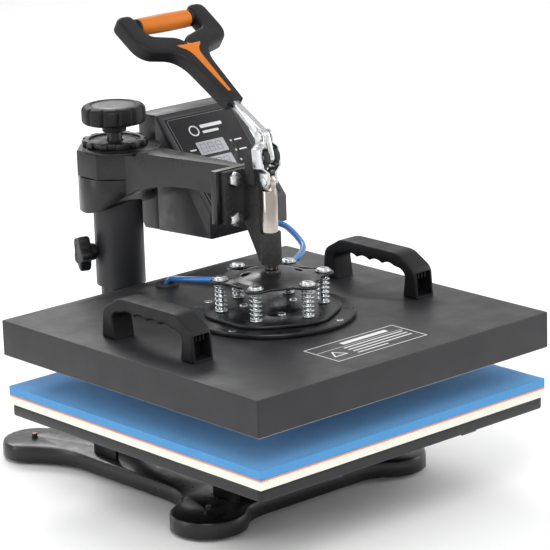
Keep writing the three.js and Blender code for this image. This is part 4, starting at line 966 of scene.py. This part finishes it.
# %% Lever frame
LEVER_TILT = math.radians(33.3)
UPPER_PIN = Vector((0, PLATEN_Y + 0.00508, 0.366312))
LEVER_REACH, HANDLE_DROP, GRIP_HALF = 176, 2.3, 32
STEM_HALF, NECK_HALF, LOOP_HALF, ARM_W = 9.5, 13.5, 57, 21
ON_LEVER = Matrix.Translation(UPPER_PIN) @ Matrix.Rotation(LEVER_TILT, 4, "X")
HANDLE_LOW, HANDLE_HIGH = -8 - HANDLE_DROP, 8 - HANDLE_DROP


def mirrored(points):
    """The points and, after them, their reflection in the line x = 0, as one closed outline."""
    return points + [(-x, y) for x, y in reversed(points) if abs(x) > 1e-6]


# %% Handle
top, split = LEVER_REACH + 12, LEVER_REACH - 45
inside = LOOP_HALF - ARM_W
half_loop = Pen(STEM_HALF, 50).line(NECK_HALF, split - 27)
half_loop.bend(NECK_HALF + 2, split - 6, NECK_HALF + 16, split - 2)
half_loop.line(LOOP_HALF - 12, split + 2).bend(LOOP_HALF, split + 8, LOOP_HALF, split + 24)
half_loop.line(LOOP_HALF, top - 10).bend(LOOP_HALF, top, LOOP_HALF - 10, top)
half_loop.line(inside + 8, top).bend(inside, top, inside, top - 8).line(inside, split + 34)
half_loop.bend(inside, split + 24, inside - 8, split + 22).line(14, split + 18)
half_loop.bend(4, split + 16, 0, split + 8)
loop = plate([mirrored(half_loop.points)], HANDLE_LOW, HANDLE_HIGH, 3.4, 4)


def across_grip(profile, sides=32):
    """A profile of (radius, distance) turned about the grip's own axis."""
    bar = from_bmesh("bar", turned(profile, sides), Matrix.Rotation(math.pi / 2, 4, "Y"))
    return placed(bar, Matrix.Translation((0, LEVER_REACH * MM, -HANDLE_DROP * MM)))


CORE_R, END_R, COLLAR_AT, grip_end = 5, 7.6, 34, GRIP_HALF + 0.3
crossbar = across_grip([(END_R, -inside - 3), (END_R, -grip_end), (CORE_R, -grip_end),
                        (CORE_R, grip_end), (END_R, grip_end), (END_R, inside + 3)])
collars = [across_grip([(8.3, at - 1.4), (8.8, at - 0.8), (8.8, at + 0.8), (8.3, at + 1.4)])
           for at in (-COLLAR_AT, COLLAR_AT)]
handle_mesh = placed(merged(loop, crossbar, *collars), ON_LEVER)
handle = mesh_piece("lever_handle_moulding", handle_mesh, "lever", handle_black, 50)
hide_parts("lever_handle")

# %% Inlay and grip
groove = Pen(1.6, 62).line(4.6, 116).bend(5.2, 126, 13, 131).line(15, 134.4).line(6, 134)
groove.bend(1.5, 133.4, 0, 136)
inlay = plate([mirrored(groove.points)], HANDLE_HIGH - 0.5, HANDLE_HIGH + 0.35, 0.3, 2)
mesh_piece("handle_inlay", placed(inlay, ON_LEVER), "lever", orange, 50)


def flattened(angle, r, z):
    """A grip's section: round, with two long flats that fade towards its ends."""
    fade = max(0.0, 1 - (z / 27) ** 4)
    return r - 0.75 * fade * max(0.0, math.cos(2 * (angle + 0.6))) ** 0.5


grip_profile = [(5.3, -GRIP_HALF), (8.2, -GRIP_HALF), (8.8, -GRIP_HALF + 0.8)]
grip_profile += [(10.2 - 1.3 * (z / 31) ** 2, z) for z in range(-30, 31, 2)]
grip_profile += [(8.8, GRIP_HALF - 0.8), (8.2, GRIP_HALF), (5.3, GRIP_HALF)]
sleeve_bm = turned(grip_profile, 48, flattened)
grip = from_bmesh("grip", sleeve_bm, Matrix.Rotation(math.pi / 2, 4, "Y"))
placed(grip, Matrix.Translation((0, LEVER_REACH * MM, -HANDLE_DROP * MM)))
grip = mesh_piece("lever_grip_sleeve", placed(grip, ON_LEVER), "lever", orange, 35)
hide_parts("lever_grip")
print("handle reaches", round((ON_LEVER @ Vector((0, top * MM, 0))).z, 3), "m")

# %% [markdown]
# ## Platen handles
# A handle is a bow drawn from the side, with finger scallops below and hollow ends, made 26 mm wide.
# Its edges are rounded by the curve's bevel. A boolean cuts the hollow into each end, and three thin
# fins close the top of the hollow, as a moulder leaves them to stiffen a thin wall.

# %% Platen handles
HANDLE_LENGTH, HANDLE_W, HANDLE_H = 138, 26, 44
HALF, SHOULDER, BAR, WALL = HANDLE_LENGTH / 2, HANDLE_H - 12, 15, 3.4


def bow_outline():
    right = Pen(HALF - 20, 0).line(HALF, 0).line(HALF - 2, SHOULDER - 8)
    right.bend(HALF - 3, SHOULDER - 2, HALF - 8, SHOULDER + 1).line(HALF - 22, HANDLE_H - 3)
    right.bend(HALF - 27, HANDLE_H, HALF - 36, HANDLE_H)
    outer_points = right.points
    under = Pen(-HALF + 20, 0).line(-HALF + 17, SHOULDER - 12)
    under.bend(-HALF + 18, HANDLE_H - BAR, -HALF + 32, HANDLE_H - BAR)
    pitch = (HANDLE_LENGTH - 64) / 4
    for i in range(4):
        start = -HALF + 32 + i * pitch
        under.bend(start + pitch / 2, HANDLE_H - BAR + 5, start + pitch, HANDLE_H - BAR)
    under.bend(HALF - 18, HANDLE_H - BAR, HALF - 17, SHOULDER - 12)
    return outer_points + [(-x, y) for x, y in reversed(outer_points)] + under.points[1:]


def pocket_outline(end):
    a, b = sorted((end * (HALF - 16), end * (HALF + 4)))
    tall = Pen(a, 2.5).line(b, 2.5).line(b, SHOULDER - 6)
    return tall.bend((a + b) / 2, SHOULDER - 2, a, SHOULDER - 9).points


def bow_mesh():
    half_w = HANDLE_W / 2
    solid = placed(plate([bow_outline()], -half_w, half_w, 2.6, 4), ALONG_X)
    bow = bpy.data.objects.new("bow", solid)
    pockets = [placed(plate([pocket_outline(end)], -half_w + WALL, half_w - WALL), ALONG_X)
               for end in (-1, 1)]
    hollow = bpy.data.objects.new("hollow", merged(*pockets))
    for obj in (bow, hollow):
        bpy.context.scene.collection.objects.link(obj)
    cut = bow.modifiers.new("cut", "BOOLEAN")
    cut.object, cut.operation, cut.solver = hollow, "DIFFERENCE", "EXACT"
    result = evaluated(bow)
    bpy.data.objects.remove(hollow)
    fins = []
    for end in (-1, 1):
        for x in (-4.5, 0, 4.5):
            fin = Pen(end * (HALF - 15.6), SHOULDER - 16).line(end * (HALF - 15.6), SHOULDER - 5)
            fin.line(end * (HALF - 4.6), SHOULDER - 5).line(end * (HALF - 4.2), SHOULDER - 12)
            points = fin.points if end > 0 else list(reversed(fin.points))
            fins.append(placed(plate([points], x - 0.6, x + 0.6), ALONG_X))
    return merged(result, *fins)


for side in ("left", "right"):
    box_low, box_high = low(f"platen_handle_{side}"), high(f"platen_handle_{side}")
    seat_point = Vector(((box_low[0] + box_high[0]) / 2, (box_low[1] + box_high[1]) / 2, box_low[2]))
    bow = placed(bow_mesh(), Matrix.Translation(seat_point))
    bow = mesh_piece(f"platen_handle_{side}_moulding", bow, "platen", handle_black, 40)
    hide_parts(f"platen_handle_{side}")
print("platen handles:", len(bow.data.polygons), "faces each")

# %% [markdown]
# ## Knobs
# The pressure knob is turned from a profile whose rim is hollowed by twelve flutes, and its top is a
# shallow dish with a paler cap. The star knob that locks the column is a round core with five lobes,
# so a smooth wave of its radius gives its whole shape.

# %% Pressure knob
knob_low, knob_high = low("pressure_knob")[2] / MM, high("pressure_knob")[2] / MM
knob_foot = knob_low + 9


def fluted(angle, r, z):
    groove = max(0.0, math.cos(12 * angle)) ** 6
    depth = 2.1 if r > 31 else 1.2 if r > 27 else 0
    return r - depth * groove


collar = [(8.3, knob_low), (12, knob_low), (12.6, knob_low + 0.6), (12.6, knob_foot + 0.4)]
rim = [(14, 0.1), (29.5, 0), (31.6, 0.6), (33, 2), (33.5, 3.6), (33.5, 14), (33.1, 15.8), (32, 17.3),
       (30, 18.6), (27, 19.3), (24.4, 19.4), (23.6, 19.1), (23.2, 18.5), (0.01, 18.3)]
knob_profile = collar + [(r, knob_foot + z) for r, z in rim]
AT_COLUMN = Matrix.Translation((0, COLUMN_Y, 0))
knob_mesh = from_bmesh("knob", turned(knob_profile, 192, fluted), AT_COLUMN)
knob = mesh_piece("pressure_knob_moulding", knob_mesh, "knob", handle_black, 40)
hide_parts("pressure_knob")
cap = [(0.01, 18.2), (22.2, 18.2), (22.4, 18.6), (21.8, 18.85), (14, 18.95), (0.01, 18.9)]
cap_profile = [(r, knob_foot + z) for r, z in cap]
cap_mesh = from_bmesh("cap", turned(cap_profile, 72), AT_COLUMN)
mesh_piece("pressure_knob_cap", cap_mesh, "knob", grey_cap, 30)

# %% Star knob
STAR_TURN = math.radians(157)
star_middle = middle("star_knob").z
ON_STAR = (AT_COLUMN @ Matrix.Translation((0, 0, star_middle))
           @ Matrix.Rotation(STAR_TURN, 4, "Z") @ Matrix.Rotation(math.pi / 2, 4, "Y"))


def lobed(angle, r, z):
    if r < 12:
        return r
    return r * (1 + 0.17 * math.cos(5 * angle - math.radians(90))) / 1.17


star_profile = [(4, 21.8), (4, 27), (8, 27), (8.6, 27.6), (9.5, 33.4), (17.2, 34), (18.6, 34.8),
                (19.4, 36.4),
                (19.4, 43.4), (18.8, 45), (17.2, 45.8), (11.5, 46), (10.8, 45.4), (0.01, 45.2)]
star_mesh = from_bmesh("star", turned(star_profile, 100, lobed), ON_STAR)
star = mesh_piece("star_knob_moulding", star_mesh, "star", handle_black, 35)
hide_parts("star_knob")
print("knobs ready")

# %% [markdown]
# ## The console's face
# The control film carries two display windows, a row of marks and three small lamps. They are thin
# printed or inlaid shapes, so each is a flat plate a few tenths of a millimetre thick, laid on the
# sloping face. A plain ring and bars stand where a maker would print a name.

# %% Console face
FACE_SLOPE = math.radians(48.6)
FACE_W, FACE_L, FILM_EDGE = 108, 122.6, 7
face_left = low("console_front")[0]
FACE_FORWARD = 0.092            # from the column's axis to the foot of the face, in metres
face_drop = FACE_L * MM * math.sin(FACE_SLOPE)
face_foot = Vector((face_left, COLUMN_Y - FACE_FORWARD, high("console_front")[2] - face_drop))
ON_FACE = Matrix.Translation(face_foot) @ Matrix.Rotation(FACE_SLOPE, 4, "X")
FILM_TOP = 0.3
BUTTON_X = {"button_down": 26, "button_set": 54, "button_up": 82}
BUTTON_UP_FACE = 19             # from the foot of the face to the buttons' row
LAMP_ROWS = (76, 64, 52)


def on_face(name, outlines, z0, z1, finish, edge=0.0):
    mesh = merged(*[plate(outline, z0, z1, edge, 1) for outline in outlines])
    return mesh_piece(name, placed(mesh, ON_FACE), "head", finish, 35)


windows = [[rectangle(29, 67, 66, 82, 1.2)], [rectangle(29, 67, 46.5, 62.5, 1.2)]]
on_face("display_windows", windows, FILM_TOP - 0.1, FILM_TOP + 0.35, screen, 0.15)
digits = []
for row in (69, 49.5):
    for column in (33, 43.5, 54):
        x, y = column, row
        strokes = [(x, x + 7, y - 0.4, y + 0.4), (x, x + 7, y + 4.6, y + 5.4),
                   (x, x + 7, y + 9.6, y + 10.4),
                   (x - 0.4, x + 0.4, y, y + 10), (x + 6.6, x + 7.4, y, y + 10)]
        digits += [[rectangle(*stroke)] for stroke in strokes]
on_face("display_segments", digits, FILM_TOP + 0.3, FILM_TOP + 0.42, dim_segments)



def frame_line(d, r):
    d += FILM_EDGE
    return rectangle(d, FACE_W - d, d, FACE_L - d, r)


border = [[frame_line(1.5, 3), frame_line(2.1, 2.6)]]
on_face("film_border", border, FILM_TOP - 0.1, FILM_TOP + 0.08, grey_ink)
marks = [[rectangle(18, 26, y - 0.8, y + 0.8)] for y in (74, 54.5)]
marks += [[rectangle(80, 90, y - 0.8, y + 0.8)] for y in LAMP_ROWS]
marks += [[rectangle(x - 4, x + 4, 28, 29.4)] for x in BUTTON_X.values()]
marks += [[disc(6.5, 32, 36, 96), disc(5, 32, 36, 96)]]
marks += [[rectangle(46, 76, 97.5, 101.5, 1)], [rectangle(46, 68, 91, 94, 1)]]
on_face("film_marks", marks, FILM_TOP - 0.1, FILM_TOP + 0.1, ink)
lamps = [[disc(1.5, 20, 75, y)] for y in LAMP_ROWS]
on_face("film_lamps", lamps, FILM_TOP - 0.1, FILM_TOP + 0.5, screen, 0.3)
rings = [[disc(7.4, 40, x, BUTTON_UP_FACE), disc(6, 40, x, BUTTON_UP_FACE)] for x in BUTTON_X.values()]
on_face("button_rings", rings, FILM_TOP - 0.1, FILM_TOP + 0.5, console_black, 0.2)

# %% Buttons
button_profile = [(0.01, -4), (4.9, -4), (4.9, 1.7), (4.6, 2.3), (3.9, 2.6), (2.5, 2.45), (0.01, 2.35)]
for name, x in BUTTON_X.items():
    place = ON_FACE @ Matrix.Translation((x * MM, BUTTON_UP_FACE * MM, 0))
    button = from_bmesh(name, turned(button_profile, 40), place)
    piece = mesh_piece(name + "_cap", button, BODY[name], red, 35)
    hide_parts(name)
print("console face and three buttons ready")

# %% [markdown]
# ## The plate on the platen
# A printed label lies on the front right of the platen. Its wording is left out: a light frame,
# a triangle and plain bars stand for it. It is a film a tenth of a millimetre thick.

# %% Label
ON_PLATEN = Matrix.Translation((0, PLATEN_Y, PLATEN_TOP))
LABEL = (-62, 58, -161, -109)


def inset(box_sides, d):
    x0, x1, y0, y1 = box_sides
    return rectangle(x0 + d, x1 - d, y0 + d, y1 - d)


triangle = [(-54, -147), (-36, -147), (-45, -132)]
smaller = [(-51.4, -145.5), (-38.6, -145.5), (-45, -135)]
label_parts = [[inset(LABEL, 1.2), inset(LABEL, 2.2)], [rectangle(-20, 40, -123, -116.5)]]
label_parts += [[triangle, smaller]]
label_parts += [[rectangle(-28, 50, y, y + 2)] for y in (-133, -139.5, -146)]
label_parts += [[rectangle(-28, 12, -152.5, -150.5)], [rectangle(-59, 55, -127.6, -127)]]
film_mesh = plate([inset(LABEL, 0)], 0, 0.12)
mesh_piece("platen_label_film", placed(film_mesh, ON_PLATEN), "platen", label_film, 30)
print_mesh = merged(*[plate(part, 0.1, 0.2) for part in label_parts])
mesh_piece("platen_label_print", placed(print_mesh, ON_PLATEN), "platen", ink, 30)
print("label", LABEL[1] - LABEL[0], "by", LABEL[3] - LABEL[2], "mm")

# %% [markdown]
# ## Small metal details
# Brass stud ends show in the base where the rubber feet screw in. One short profile is turned for
# each and set on the middle of its foot.

# %% Stud ends
STUD_DROP = 0.0039              # the stud's end stays under the foot's top, in metres
brass_profile = [(0.01, -1), (2.9, -1), (2.9, 3.4), (2.4, 4), (1.1, 4), (1.1, 3.2), (0.01, 3.2)]
for foot in ("front_left", "front_right", "rear_left", "rear_right"):
    centre = middle(f"foot_{foot}")
    top_z = high(f"foot_{foot}")[2]
    place = Matrix.Translation((centre.x, centre.y, top_z - STUD_DROP))
    stud = from_bmesh("stud", turned(brass_profile, 28), place)
    mesh_piece(f"foot_stud_{foot}", stud, "base", brass, 35)
print("four stud ends")
